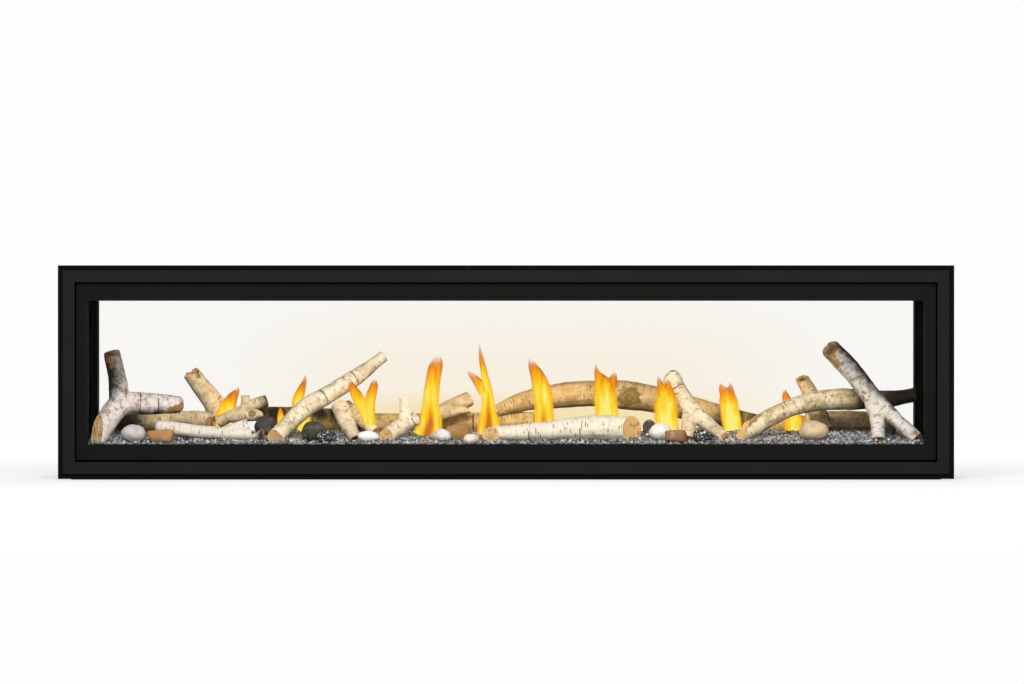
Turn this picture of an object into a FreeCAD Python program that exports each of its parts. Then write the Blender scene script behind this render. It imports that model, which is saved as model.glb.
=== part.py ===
import FreeCAD, Part
import math
import os
import random
from collections import namedtuple

# Double-sided linear gas fireplace, millimetres.
# X runs along the opening, Y runs from the front (-Y) to the rear, Z is up from the base pan.
# The rear face is the front face turned half a turn about Z.

V = FreeCAD.Vector
Outline = namedtuple("Outline", "half bottom top")

# Surround: flange lip, raised face and inner return
SURROUND_W = 1955.0
SURROUND_H = 466.0
SURROUND_LIFT = 2.0
SURROUND_SHEET = 2.0
LIP_W = 11.0
FACE_W = 26.0
FACE_RISE = 10.0
FACE_EDGE_R = 1.2
UNIT_DEPTH = 560.0

# Glazed door: sheet steel frame, glass, gasket and clips
DOOR_SETBACK = 18.0
DOOR_GAP = 2.5
DOOR_SILL_GAP = 4.0
DOOR_SHEET = 2.0
STILE_W = 26.0
TOP_RAIL_W = 38.0
BOTTOM_RAIL_W = 34.5
DOOR_WALL_DEPTH = 18.0
DOOR_SILL_DEPTH = 12.0
OPENING_LIP_DEPTH = 8.0
DOOR_EDGE_R = 0.8
GLASS_T = 5.0
GLASS_OVERLAP = 20.0
STRIP_W = 12.0
STRIP_T = 2.0
SEAL_W = 9.5
SEAL_CLEARANCE = 0.3
CLIP_SHEET = 1.5
CLIP_LENGTH = 20.0
CLIP_BITE = 7.0
CLIP_GAP = 1.0
CLIP_STILE_PITCH = 160.0
CLIP_RAIL_PITCH = 360.0
CLIPS_PER_STILE = 2
CLIPS_PER_RAIL = 5

# Door hinge: a pin welded in each lower corner turns in an ear of the face frame
HINGE_RISE = 8.0
HINGE_SETBACK = 8.0
PIN_R = 2.5
PIN_TAIL = 3.0
PIN_CLEARANCE = 0.05
EAR_R = 5.5
EAR_T = 3.0
EAR_INSET = 7.0
EAR_SLOT_GAP = 1.5

# Magnetic catches in the top rail
MAGNET_W = 40.0
MAGNET_H = 9.0
MAGNET_SPREAD = 540.0
MAGNET_CLEARANCE = 0.5

# Cabinet
FACE_FRAME_SETBACK = 42.0
SHELL_SHEET = 2.0
BODY_SIDE_COVER = 9.5
BODY_TOP_COVER = 7.0
CABINET_TOP_DROP = 12.0
OPENING_RELIEF = 2.5
END_FLANGE_W = 20.0
TAB_REACH = 22.0
TAB_H = 70.0
TAB_SETBACK = 4.0
TAB_LOW_Z = 95.0
TAB_PITCH = 240.0
TAB_HOLE_R = 2.5
SCREW_R = 2.0
SCREW_HOLE_CLEARANCE = 0.1
SCREW_HEAD_R = 4.0
SCREW_HEAD_H = 2.4
SCREW_TAIL = 2.0
SCREW_PITCH = 130.0
SCREWS_PER_END = 4
CABLE_ENTRY_R = 11.0
CABLE_ENTRY_Y = -120.0
CABLE_ENTRY_Z = 30.0

# Firebox lining and vent
FLOOR_DROP = 13.0
CEILING_GAP = 17.0
BAFFLE_L = 600.0
BAFFLE_W = 220.0
BAFFLE_DROP = 12.0
BAFFLE_LEG_W = 20.0
FLUE_R = 63.5
AIR_R = 101.6
COLLAR_WALL = 1.0
COLLAR_FLANGE_W = 18.0
COLLAR_FLANGE_T = 1.5
COLLAR_TOP_DROP = 4.0

# Burner tray under the media
BURNER_END_MARGIN = 290.0
BURNER_W = 110.0
BURNER_DEPTH = 52.0
BURNER_RIM = 12.0
BURNER_SHEET = 1.5
BURNER_TOP_T = 2.0
BURNER_FLANGE_W = 12.0
BURNER_FIT = 1.0
SLOT_L = 14.0
SLOT_W = 2.5
SLOT_PITCH = 30.0
SLOT_ROW_Y = 22.0

# Venturi, air shutter, orifice and manifold, all on one axis
VENTURI_R = 13.0
VENTURI_WALL = 1.5
VENTURI_L = 96.0
VENTURI_ENTRY = 4.0
VENTURI_RISE = 18.0
VENTURI_FIT = 0.05
WINDOW_L = 14.0
WINDOW_H = 10.0
WINDOW_START = 5.0
SHUTTER_L = 24.0
SHUTTER_WALL = 1.5
SHUTTER_FIT = 0.1
SHUTTER_TAB = 12.0
SHUTTER_TAB_T = 4.0
ORIFICE_GAP = 4.0
ORIFICE_FLATS = 14.0
ORIFICE_HEX_L = 16.0
ORIFICE_NOSE_L = 6.0
ORIFICE_NOSE_R = 3.0
ORIFICE_BORE_R = 1.2
MANIFOLD_R = 5.0
MANIFOLD_BORE_R = 3.5

# Gas valve with its flame height knob
VALVE_END_GAP = 48.0
VALVE_L = 100.0
VALVE_W = 80.0
VALVE_H = 44.0
VALVE_FOOT_H = 4.0
VALVE_FOOT_L = 16.0
VALVE_EDGE_R = 5.0
PORT_L = 8.0
OUTLET_PORT_R = 8.0
INLET_PORT_R = 9.0
PILOT_PORT_R = 6.0
PILOT_PORT_Y = 25.0
PILOT_PORT_Z = 14.0
KNOB_BOSS_R = 9.0
KNOB_BOSS_L = 4.0
KNOB_SHAFT_R = 4.0
KNOB_SHAFT_L = 12.0
KNOB_R = 13.0
KNOB_L = 14.0
KNOB_FIT = 0.05
KNOB_BACK_GAP = 0.3
KNOB_END_GAP = 0.5
KNOB_FLUTES = 8
KNOB_FLUTE_R = 2.5

# Gas supply: inlet fitting, shutoff and connector
SUPPLY_Y = 120.0
SUPPLY_Z = 28.0
INLET_FLATS = 27.0
INLET_HEX_L = 18.0
INLET_THREAD_R = 9.3
INLET_PIPE_R = 10.5
INLET_PIPE_L = 20.0
SUPPLY_BORE_R = 6.0
PANEL_HOLE_CLEARANCE = 0.1
SHUTOFF_R = 12.0
SHUTOFF_L = 46.0
SHUTOFF_BOSS_R = 7.0
SHUTOFF_BOSS_H = 18.0
STEM_R = 3.0
STEM_FIT = 0.05
STEM_TAIL = 1.7
LEVER_T = 3.0
LEVER_HUB_R = 8.0
LEVER_L = 47.0
LEVER_W = 10.0
LEVER_GAP = 0.3
CONNECTOR_R = 6.5
CONNECTOR_BORE_R = 5.0
CONNECTOR_BEND_R = 18.0
CONNECTOR_PORT_INSET = 40.0

# Pilot beside the burner
PILOT_INSET = 10.0
PILOT_GAP = 3.0
PILOT_PLATE_L = 44.0
PILOT_PLATE_W = 32.0
PILOT_SHEET = 1.5
PILOT_SHELF_RISE = 15.5
PILOT_BACK_H = 30.0
PILOT_HOOD_R = 7.0
PILOT_HOOD_H = 18.0
PILOT_HOOD_SLOT = 5.0
PILOT_TUBE_R = 3.0
PILOT_TUBE_BEND_R = 15.0
PILOT_TUBE_FIT = 0.1
PILOT_TUBE_RUN = 124.0
PILOT_POCKET_GAP = 3.0
ELECTRODE_R = 1.6
ELECTRODE_SPREAD = 12.0
ELECTRODE_H = 32.0
FLOOR_GLAND_R = 8.0

# Control module, its rocker switch and the cover over it
MODULE_END_GAP = 118.0
MODULE_L = 130.0
MODULE_W = 110.0
MODULE_H = 44.0
MODULE_EDGE_R = 4.0
ROCKER_R = 7.0
ROCKER_W = 10.0
ROCKER_FIT = 0.4
ROCKER_SINK = 2.0
ROCKER_PIN_R = 1.2
ROCKER_PIN_L = 2.0
ROCKER_PIN_FIT = 0.05
ROCKER_SWING = 24.0
ROCKER_CROWN = 2.5
ROCKER_DISH = 12.0
COVER_MARGIN = 10.0
COVER_LAP = 10.0
COVER_T = 1.5

# Media bed: crowned along the middle, and uneven where the crushed glass lies in small heaps
BED_ABOVE_SILL = 1.5
BED_RISE = 20.0
BED_FLAT_HALF = 70.0
BED_END_GAP = 0.5
HEAP_PITCH = 30.0
HEAP_RISE = 3.5
HEAP_SHIFT = 8.0
HEAP_SEED = 72

# Log set: cast for this half length and half depth of firebox, and spread to suit the bed
LOG_SET_HALF_L = 914.5
LOG_SET_HALF_W = 236.0
ROCK_SINK = 4.0

# Each limb: points of (x, y, height of the axis above the media, radius)
LOGS = {
    "log_front_center": [[
        [(-35, -180, 12, 15), (97, -168, 18, 22), (184, -162, 22, 28), (276, -158, 19, 29)],
    ]],
    "log_long_leaning": [[
        [(-506, -195, 6, 18), (-493, -188, 19, 18), (-443, -160, 65, 20), (-392, -135, 92, 19),
         (-359, -118, 111, 19), (-330, -105, 127, 17), (-270, -80, 170, 14.5)],
    ]],
    "log_far_left_fork": [[
        [(-893, -195, 8, 22), (-874, -178, 43, 24), (-845, -155, 72, 25), (-782, -140, 73, 23),
         (-710, -132, 71, 18)],
        [(-848, -155, 75, 22), (-852, -145, 122, 20.5), (-866, -132, 184, 17.5)],
    ]],
    "log_left_fork": [[
        [(-844, 45, 18, 19), (-717, 30, 31, 16.5), (-686, 20, 28, 20), (-647, 5, 21, 22)],
        [(-650, 8, 40, 22), (-654, 8, 68, 22), (-674, 8, 99, 20), (-697, 8, 131, 18)],
    ]],
    "log_front_left": [[
        [(-768, -160, 27, 14), (-704, -165, 19, 14.5), (-638, -170, 13, 14.5), (-535, -172, 10, 13.5)],
        [(-600, -170, 14, 11), (-560, -166, 38, 9)],
    ]],
    "log_small_fork": [[
        [(-263, -180, 6, 17), (-233, -168, 24, 18), (-198, -155, 44, 15.5)],
        [(-226, -166, 26, 17), (-218, -160, 58, 14), (-220, -156, 83, 12.5)],
    ]],
    "log_center_fork": [[
        [(358, -100, 132, 20), (383, -118, 98, 16), (409, -138, 61, 19), (446, -160, 29, 15),
         (485, -180, 1, 11.5)],
        [(407, -138, 64, 17), (401, -158, 33, 15.5), (398, -178, 1, 14.5)],
    ]],
    "log_far_right_fork": [[
        [(713, -120, 191, 21), (761, -135, 143, 21), (799, -150, 94, 22), (851, -168, 47, 16),
         (899, -185, 4, 14)],
        [(804, -155, 79, 19), (813, -170, 42, 16), (815, -185, 2, 15)],
    ]],
    "log_right_curve": [[
        [(506, -182, 4, 19), (540, -170, 24, 20), (584, -155, 48, 19), (647, -130, 70, 20),
         (714, -100, 77, 22.5), (786, -70, 74, 22), (849, -50, 74, 18), (900, -35, 83, 15)],
    ]],
    "log_right_post": [[
        [(655, 20, 119, 14), (678, 5, 75, 18), (702, -15, 4, 21)],
    ]],
    "log_rear_right": [[
        [(664, 50, 21, 23), (787, 50, 22, 23.5), (862, 45, 12, 17)],
    ]],
    "log_rear_row": [
        [[(-552, 85, 24, 29), (-366, 90, 23, 29)]],
        [[(-359, 100, 21, 22), (-192, 98, 21, 22), (62, 76, 24, 21)]],
        [[(460, 120, 20, 21), (656, 125, 20, 21)]],
    ],
    "log_rear_arch": [[
        [(-20, 70, 46, 14), (31, 70, 64, 21), (98, 70, 77, 26), (187, 70, 85, 29), (276, 70, 80, 30),
         (343, 70, 68, 29), (418, 70, 50, 26), (487, 70, 34, 22), (565, 70, 16, 19)],
    ]],
    "log_props": [
        [[(-330, -185, 2, 12.5), (-348, -155, 33, 17), (-367, -122, 66, 19)]],
        [[(-289, -95, 5, 12), (-318, -75, 30, 14.5), (-354, -45, 58, 15)]],
    ],
    "log_short_sticks": [
        [[(-645, -40, 8, 12), (-590, -48, 47, 11), (-555, -52, 63, 12), (-528, -55, 71, 12)],
         [(-576, -50, 54, 8), (-575, -50, 82, 7)],
         [(-575, -50, 50, 11), (-539, -55, 32, 11)]],
        [[(-191, 15, 10, 16), (-135, 35, 47, 18), (-82, 60, 73, 16)]],
    ],
}

# Each stone: x, y, half length, half depth, half height and turn in degrees
STONES = [
    (-815, -198, 28, 22, 20, 10),
    (-755, -208, 30, 18, 15, -8),
    (-529, -120, 24, 20, 24, 15),
    (-421, -185, 27, 20, 23, -12),
    (-394, -212, 22, 14, 14, 5),
    (-302, -195, 22, 16, 13, 20),
    (-140, -195, 20, 17, 15, 0),
    (-102, -175, 25, 20, 19, -15),
    (-77, -215, 16, 12, 11, 8),
    (315, -90, 14, 16, 18, 30),
    (334, -170, 20, 20, 19, 10),
    (374, -212, 28, 16, 14, -6),
    (430, -205, 22, 17, 15, 25),
    (433, -112, 22, 16, 12, 0),
    (674, -178, 32, 24, 23, -10),
    (847, -100, 12, 12, 17, 0),
]


# Shape helpers

def box(x0, x1, y0, y1, z0, z1):
    return Part.makeBox(x1 - x0, y1 - y0, z1 - z0, V(x0, y0, z0))


def rod(start, direction, length, radius):
    return Part.makeCylinder(radius, length, start, direction)


def pipe(start, direction, length, outer_r, inner_r):
    return rod(start, direction, length, outer_r).cut(rod(start, direction, length, inner_r))


def join(*shapes):
    return shapes[0].multiFuse(list(shapes[1:])).removeSplitter()


def hex_bar_x(start, length, flats):
    corner_r = flats / math.sqrt(3)
    corners = []
    for k in range(7):
        angle = math.radians(60 * k)
        corners.append(start + V(0, corner_r * math.cos(angle), corner_r * math.sin(angle)))
    return Part.Face(Part.makePolygon(corners)).extrude(V(length, 0, 0))


def turned(shape):
    rear = shape.copy()
    rear.rotate(V(0, 0, 0), V(0, 0, 1), 180)
    return rear


def shrink(outline, side, bottom=None, top=None):
    bottom = side if bottom is None else bottom
    top = side if top is None else top
    return Outline(outline.half - side, outline.bottom + bottom, outline.top - top)


def grow(outline, amount):
    return shrink(outline, -amount)


def depth(behind_face):
    return behind_face - UNIT_DEPTH / 2


def slab(outline, d_front, d_back):
    return box(-outline.half, outline.half, depth(d_front), depth(d_back), outline.bottom, outline.top)


def ring(outer, inner, d_front, d_back):
    return slab(outer, d_front, d_back).cut(slab(inner, d_front, d_back))


def ease_front_edges(shape, d_front, radius):
    edges = []
    for edge in shape.Edges:
        span = edge.BoundBox
        if max(abs(span.YMin - depth(d_front)), abs(span.YMax - depth(d_front))) < 1e-4:
            edges.append(edge)
    return shape.makeFillet(radius, edges)


def bent_tube(points, bend_r, radius):
    edges = []
    start = points[0]
    for corner, after in zip(points[1:-1], points[2:]):
        before_dir = (corner - start).normalize()
        after_dir = (after - corner).normalize()
        half_turn = before_dir.getAngle(after_dir) / 2
        run = bend_r * math.tan(half_turn)
        arc_start = corner - before_dir * run
        arc_end = corner + after_dir * run
        to_middle = (after_dir - before_dir).normalize()
        arc_middle = corner + to_middle * (bend_r / math.cos(half_turn) - bend_r)
        edges.append(Part.LineSegment(start, arc_start).toShape())
        edges.append(Part.Arc(arc_start, arc_middle, arc_end).toShape())
        start = arc_end
    edges.append(Part.LineSegment(start, points[-1]).toShape())
    first_dir = (points[1] - points[0]).normalize()
    section = Part.Wire([Part.makeCircle(radius, points[0], first_dir)])
    return Part.Wire(edges).makePipeShell([section], True, False)


# Outlines that every layer of the two faces shares
surround_edge = Outline(SURROUND_W / 2, SURROUND_LIFT, SURROUND_LIFT + SURROUND_H)
face_edge = shrink(surround_edge, LIP_W)
return_edge = shrink(face_edge, FACE_W)
door_edge = shrink(return_edge, DOOR_GAP, bottom=DOOR_SILL_GAP)
opening = shrink(door_edge, STILE_W, bottom=BOTTOM_RAIL_W, top=TOP_RAIL_W)
frame_opening = grow(opening, OPENING_RELIEF)
body_edge = Outline(return_edge.half + BODY_SIDE_COVER, 0.0, return_edge.top + BODY_TOP_COVER)

# Depths behind the front face
face_frame_back = FACE_FRAME_SETBACK + SHELL_SHEET
strip_front = DOOR_SETBACK + OPENING_LIP_DEPTH
glass_front = strip_front + STRIP_T
glass_back = glass_front + GLASS_T
hinge_y = depth(DOOR_SETBACK + HINGE_SETBACK)
hinge_z = door_edge.bottom + HINGE_RISE

# Cabinet and firebox levels
body_half_w = UNIT_DEPTH / 2 - face_frame_back
end_inner = body_edge.half - SHELL_SHEET
base_top = SHELL_SHEET
cabinet_top_z = body_edge.top - CABINET_TOP_DROP
cabinet_roof = cabinet_top_z - SHELL_SHEET
firebox_half = frame_opening.half
floor_top = frame_opening.bottom - FLOOR_DROP
floor_under = floor_top - SHELL_SHEET
ceiling_z = frame_opening.top + CEILING_GAP
collar_top = surround_edge.top - COLLAR_TOP_DROP


# Surround and doors, modelled at the front

def front_surround():
    lip = ring(surround_edge, shrink(face_edge, SURROUND_SHEET), FACE_RISE, FACE_RISE + SURROUND_SHEET)
    step = ring(face_edge, shrink(face_edge, SURROUND_SHEET), 0, FACE_RISE + SURROUND_SHEET)
    face = ring(face_edge, return_edge, 0, SURROUND_SHEET)
    inner_return = ring(grow(return_edge, SURROUND_SHEET), return_edge, 0, FACE_FRAME_SETBACK)
    return ease_front_edges(join(lip, step, face, inner_return), 0, FACE_EDGE_R)


def ear_span(side):
    outer = door_edge.half - DOOR_SHEET - EAR_INSET
    return sorted((side * outer, side * (outer - EAR_T)))


def front_door_frame():
    back = DOOR_SETBACK + DOOR_WALL_DEPTH
    inside = shrink(door_edge, DOOR_SHEET)
    face = ring(door_edge, opening, DOOR_SETBACK, DOOR_SETBACK + DOOR_SHEET)
    walls = ring(door_edge, inside, DOOR_SETBACK, back)
    sill_relief = box(-inside.half, inside.half, depth(DOOR_SETBACK + DOOR_SILL_DEPTH), depth(back),
                      door_edge.bottom, inside.bottom)
    lip = ring(grow(opening, DOOR_SHEET), opening, DOOR_SETBACK, strip_front)
    shape = ease_front_edges(join(face, walls.cut(sill_relief), lip), DOOR_SETBACK, DOOR_EDGE_R)
    for side in (-1, 1):
        x0, x1 = ear_span(side)
        slot = box(x0 - EAR_SLOT_GAP, x1 + EAR_SLOT_GAP, depth(DOOR_SETBACK + DOOR_SHEET), depth(back),
                   door_edge.bottom, inside.bottom)
        pin_start = V(side * inside.half, hinge_y, hinge_z)
        pin = rod(pin_start, V(-side, 0, 0), EAR_INSET + EAR_T + PIN_TAIL, PIN_R)
        shape = join(shape.cut(slot), pin)
    return shape


def front_glass():
    return slab(grow(opening, GLASS_OVERLAP), glass_front, glass_back)


def front_gasket():
    strip = ring(grow(opening, STRIP_W), opening, strip_front, glass_front)
    seal = ring(grow(frame_opening, SEAL_W), frame_opening, glass_back,
                FACE_FRAME_SETBACK - SEAL_CLEARANCE)
    return Part.makeCompound([strip, seal])


def glass_clip(along, outward, edge, axis):
    inner = GLASS_OVERLAP - CLIP_BITE
    outer = GLASS_OVERLAP + CLIP_GAP + CLIP_SHEET

    def plate(u0, u1, d0, d1):
        u_low, u_high = sorted((edge + outward * u0, edge + outward * u1))
        w_low, w_high = along - CLIP_LENGTH / 2, along + CLIP_LENGTH / 2
        if axis == "x":
            return box(u_low, u_high, depth(d0), depth(d1), w_low, w_high)
        return box(w_low, w_high, depth(d0), depth(d1), u_low, u_high)

    foot_d = DOOR_SETBACK + DOOR_SHEET
    foot = plate(inner, outer, foot_d, foot_d + CLIP_SHEET)
    riser = plate(outer - CLIP_SHEET, outer, foot_d, glass_back + CLIP_SHEET)
    finger = plate(inner, outer, glass_back, glass_back + CLIP_SHEET)
    return join(foot, riser, finger)


def front_clips():
    clips = []
    middle = (opening.bottom + opening.top) / 2
    for k in range(CLIPS_PER_STILE):
        z = middle + (k - (CLIPS_PER_STILE - 1) / 2) * CLIP_STILE_PITCH
        clips.append(glass_clip(z, 1, opening.half, "x"))
        clips.append(glass_clip(z, -1, -opening.half, "x"))
    for k in range(CLIPS_PER_RAIL):
        x = (k - (CLIPS_PER_RAIL - 1) / 2) * CLIP_RAIL_PITCH
        clips.append(glass_clip(x, 1, opening.top, "z"))
        clips.append(glass_clip(x, -1, opening.bottom, "z"))
    return Part.makeCompound(clips)


def front_face_frame():
    shape = ring(body_edge, frame_opening, FACE_FRAME_SETBACK, face_frame_back)
    for side in (-1, 1):
        x0, x1 = ear_span(side)
        arm = box(x0, x1, hinge_y, depth(FACE_FRAME_SETBACK), hinge_z - EAR_R, hinge_z + EAR_R)
        nose = rod(V(x0, hinge_y, hinge_z), V(1, 0, 0), EAR_T, EAR_R)
        hole = rod(V(x0, hinge_y, hinge_z), V(1, 0, 0), EAR_T, PIN_R + PIN_CLEARANCE)
        shape = join(shape, join(arm, nose).cut(hole))
    return shape


def front_magnets():
    bottom = opening.top + GLASS_OVERLAP + CLIP_GAP + CLIP_SHEET + MAGNET_CLEARANCE
    front = DOOR_SETBACK + DOOR_SHEET + MAGNET_CLEARANCE
    blocks = []
    for x in (-MAGNET_SPREAD, MAGNET_SPREAD):
        blocks.append(box(x - MAGNET_W / 2, x + MAGNET_W / 2, depth(front), depth(FACE_FRAME_SETBACK),
                          bottom, bottom + MAGNET_H))
    return blocks


# Cabinet

def screw_points():
    points = []
    for side in (-1, 1):
        x = side * (end_inner - END_FLANGE_W / 2)
        for k in range(SCREWS_PER_END):
            points.append(V(x, (k - (SCREWS_PER_END - 1) / 2) * SCREW_PITCH, cabinet_top_z))
    return points


def drill_screws(shape):
    for point in screw_points():
        start = point - V(0, 0, 2 * SHELL_SHEET)
        shape = shape.cut(rod(start, V(0, 0, 1), 2 * SHELL_SHEET, SCREW_R + SCREW_HOLE_CLEARANCE))
    return shape


def cabinet_screws():
    screws = []
    for point in screw_points():
        head = rod(point, V(0, 0, 1), SCREW_HEAD_H, SCREW_HEAD_R)
        shank = rod(point, V(0, 0, -1), 2 * SHELL_SHEET + SCREW_TAIL, SCREW_R)
        screws.append(join(head, shank))
    return Part.makeCompound(screws)


def base_pan():
    return box(-body_edge.half, body_edge.half, -body_half_w, body_half_w, 0, base_top)


def cabinet_top():
    plate = box(-body_edge.half, body_edge.half, -body_half_w, body_half_w, cabinet_roof, cabinet_top_z)
    return drill_screws(plate.cut(rod(V(0, 0, cabinet_roof), V(0, 0, 1), SHELL_SHEET, AIR_R - COLLAR_WALL)))


def cabinet_end():
    panel = box(end_inner, body_edge.half, -body_half_w, body_half_w, base_top, cabinet_roof)
    flange = box(end_inner - END_FLANGE_W, end_inner, -body_half_w, body_half_w,
                 cabinet_roof - SHELL_SHEET, cabinet_roof)
    shape = join(panel, flange)
    for side in (-1, 1):
        face_y = side * (body_half_w - TAB_SETBACK)
        y0, y1 = sorted((face_y, face_y - side * SHELL_SHEET))
        for z in (TAB_LOW_Z, TAB_LOW_Z + TAB_PITCH):
            tab = box(body_edge.half, body_edge.half + TAB_REACH, y0, y1, z - TAB_H / 2, z + TAB_H / 2)
            hole = rod(V(body_edge.half + TAB_REACH / 2, y0, z), V(0, 1, 0), SHELL_SHEET, TAB_HOLE_R)
            shape = join(shape, tab.cut(hole))
    return drill_screws(shape)


def cabinet_end_right():
    hole = rod(V(end_inner, CABLE_ENTRY_Y, CABLE_ENTRY_Z), V(1, 0, 0), SHELL_SHEET, CABLE_ENTRY_R)
    return cabinet_end().cut(hole)


def cabinet_end_left():
    shape = cabinet_end().mirror(V(0, 0, 0), V(1, 0, 0))
    hole = rod(V(-body_edge.half, SUPPLY_Y, SUPPLY_Z), V(1, 0, 0), SHELL_SHEET,
               INLET_PIPE_R + PANEL_HOLE_CLEARANCE)
    return shape.cut(hole)


# Firebox lining and vent

def firebox_end(side):
    x0, x1 = sorted((side * firebox_half, side * (firebox_half + SHELL_SHEET)))
    return box(x0, x1, -body_half_w, body_half_w, floor_under, ceiling_z)


def firebox_ceiling():
    reach = firebox_half + SHELL_SHEET
    plate = box(-reach, reach, -body_half_w, body_half_w, ceiling_z, ceiling_z + SHELL_SHEET)
    return plate.cut(rod(V(0, 0, ceiling_z), V(0, 0, 1), SHELL_SHEET, FLUE_R - COLLAR_WALL))


def ceiling_baffle():
    bottom = ceiling_z - BAFFLE_DROP - SHELL_SHEET
    shape = box(-BAFFLE_L / 2, BAFFLE_L / 2, -BAFFLE_W / 2, BAFFLE_W / 2, bottom, bottom + SHELL_SHEET)
    for x in (-BAFFLE_L / 2, BAFFLE_L / 2 - SHELL_SHEET):
        for y in (-BAFFLE_W / 2, BAFFLE_W / 2 - BAFFLE_LEG_W):
            leg = box(x, x + SHELL_SHEET, y, y + BAFFLE_LEG_W, bottom, ceiling_z)
            shape = join(shape, leg)
    return shape


def collar(radius, foot_z):
    flange = pipe(V(0, 0, foot_z), V(0, 0, 1), COLLAR_FLANGE_T, radius + COLLAR_FLANGE_W,
                  radius - COLLAR_WALL)
    wall = pipe(V(0, 0, foot_z), V(0, 0, 1), collar_top - foot_z, radius, radius - COLLAR_WALL)
    return join(flange, wall)


# Burner
burner_half = firebox_half - BURNER_END_MARGIN
burner_rim_z = floor_top + BURNER_RIM
burner_bottom = burner_rim_z - BURNER_DEPTH
gas_z = burner_bottom + VENTURI_RISE
venturi_x = -burner_half - VENTURI_L + VENTURI_ENTRY
AXIS_X = V(1, 0, 0)


def burner_footprint(margin, z0, z1):
    return box(-burner_half - margin, burner_half + margin, -BURNER_W / 2 - margin, BURNER_W / 2 + margin,
               z0, z1)


def burner_tub():
    shell = burner_footprint(0, burner_bottom, burner_rim_z)
    hollow = burner_footprint(-BURNER_SHEET, burner_bottom + BURNER_SHEET, burner_rim_z)
    flange = burner_footprint(BURNER_FLANGE_W, floor_top, floor_top + BURNER_SHEET)
    entry = rod(V(-burner_half, 0, gas_z), AXIS_X, BURNER_SHEET, VENTURI_R + VENTURI_FIT)
    return join(shell, flange).cut(hollow).cut(entry)


def burner_top():
    plate = burner_footprint(0, burner_rim_z, burner_rim_z + BURNER_TOP_T)
    count = int((2 * burner_half - 2 * SLOT_L) // SLOT_PITCH)
    slots = []
    for k in range(count + 1):
        x = (k - count / 2) * SLOT_PITCH
        for y in (-SLOT_ROW_Y, SLOT_ROW_Y):
            slots.append(box(x - SLOT_L / 2, x + SLOT_L / 2, y - SLOT_W / 2, y + SLOT_W / 2,
                             burner_rim_z, burner_rim_z + BURNER_TOP_T))
    return plate.cut(Part.makeCompound(slots))


def air_windows():
    x0 = venturi_x + WINDOW_START
    reach = VENTURI_R + SHUTTER_FIT + SHUTTER_WALL
    return box(x0, x0 + WINDOW_L, -reach, reach, gas_z - WINDOW_H / 2, gas_z + WINDOW_H / 2)


def venturi_tube():
    start = V(venturi_x, 0, gas_z)
    return pipe(start, AXIS_X, VENTURI_L, VENTURI_R, VENTURI_R - VENTURI_WALL).cut(air_windows())


def air_shutter():
    inner = VENTURI_R + SHUTTER_FIT
    outer = inner + SHUTTER_WALL
    sleeve = pipe(V(venturi_x, 0, gas_z), AXIS_X, SHUTTER_L, outer, inner).cut(air_windows())
    tab_x = venturi_x + SHUTTER_L - SHUTTER_TAB_T
    tab = box(tab_x, tab_x + SHUTTER_TAB_T, -outer - SHUTTER_TAB, -inner - SHUTTER_WALL / 2,
              gas_z - SHUTTER_TAB_T, gas_z + SHUTTER_TAB_T)
    return join(sleeve, tab)


orifice_tip_x = venturi_x - ORIFICE_GAP
orifice_x = orifice_tip_x - ORIFICE_NOSE_L - ORIFICE_HEX_L


def orifice_fitting():
    start = V(orifice_x, 0, gas_z)
    nose_x = orifice_x + ORIFICE_HEX_L
    body = hex_bar_x(start, ORIFICE_HEX_L, ORIFICE_FLATS)
    nose = Part.makeCone(MANIFOLD_R, ORIFICE_NOSE_R, ORIFICE_NOSE_L, V(nose_x, 0, gas_z), AXIS_X)
    bore = rod(start, AXIS_X, ORIFICE_HEX_L + ORIFICE_NOSE_L, ORIFICE_BORE_R)
    return join(body, nose).cut(bore)


# Gas valve and its knob
valve_x0 = -end_inner + VALVE_END_GAP
valve_x1 = valve_x0 + VALVE_L
valve_z0 = base_top + VALVE_FOOT_H
valve_front_y = -VALVE_W / 2
valve_port_x = valve_x0 + CONNECTOR_PORT_INSET
knob_x = (valve_x0 + valve_x1) / 2


def gas_valve():
    block = box(valve_x0, valve_x1, valve_front_y, VALVE_W / 2, valve_z0, valve_z0 + VALVE_H)
    uprights = [edge for edge in block.Edges if edge.BoundBox.ZLength > VALVE_H / 2]
    block = block.makeFillet(VALVE_EDGE_R, uprights)
    feet = []
    for x in (valve_x0 + VALVE_EDGE_R, valve_x1 - VALVE_EDGE_R - VALVE_FOOT_L):
        feet.append(box(x, x + VALVE_FOOT_L, valve_front_y, VALVE_W / 2, base_top, valve_z0))
    outlet = rod(V(valve_x1, 0, gas_z), AXIS_X, PORT_L, OUTLET_PORT_R)
    pilot = rod(V(valve_x1, PILOT_PORT_Y, PILOT_PORT_Z), AXIS_X, PORT_L, PILOT_PORT_R)
    inlet = rod(V(valve_port_x, VALVE_W / 2, SUPPLY_Z), V(0, 1, 0), PORT_L, INLET_PORT_R)
    boss = rod(V(knob_x, valve_front_y, SUPPLY_Z), V(0, -1, 0), KNOB_BOSS_L, KNOB_BOSS_R)
    shaft = rod(V(knob_x, valve_front_y, SUPPLY_Z), V(0, -1, 0), KNOB_BOSS_L + KNOB_SHAFT_L, KNOB_SHAFT_R)
    return join(block, *feet, outlet, pilot, inlet, boss, shaft)


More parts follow.
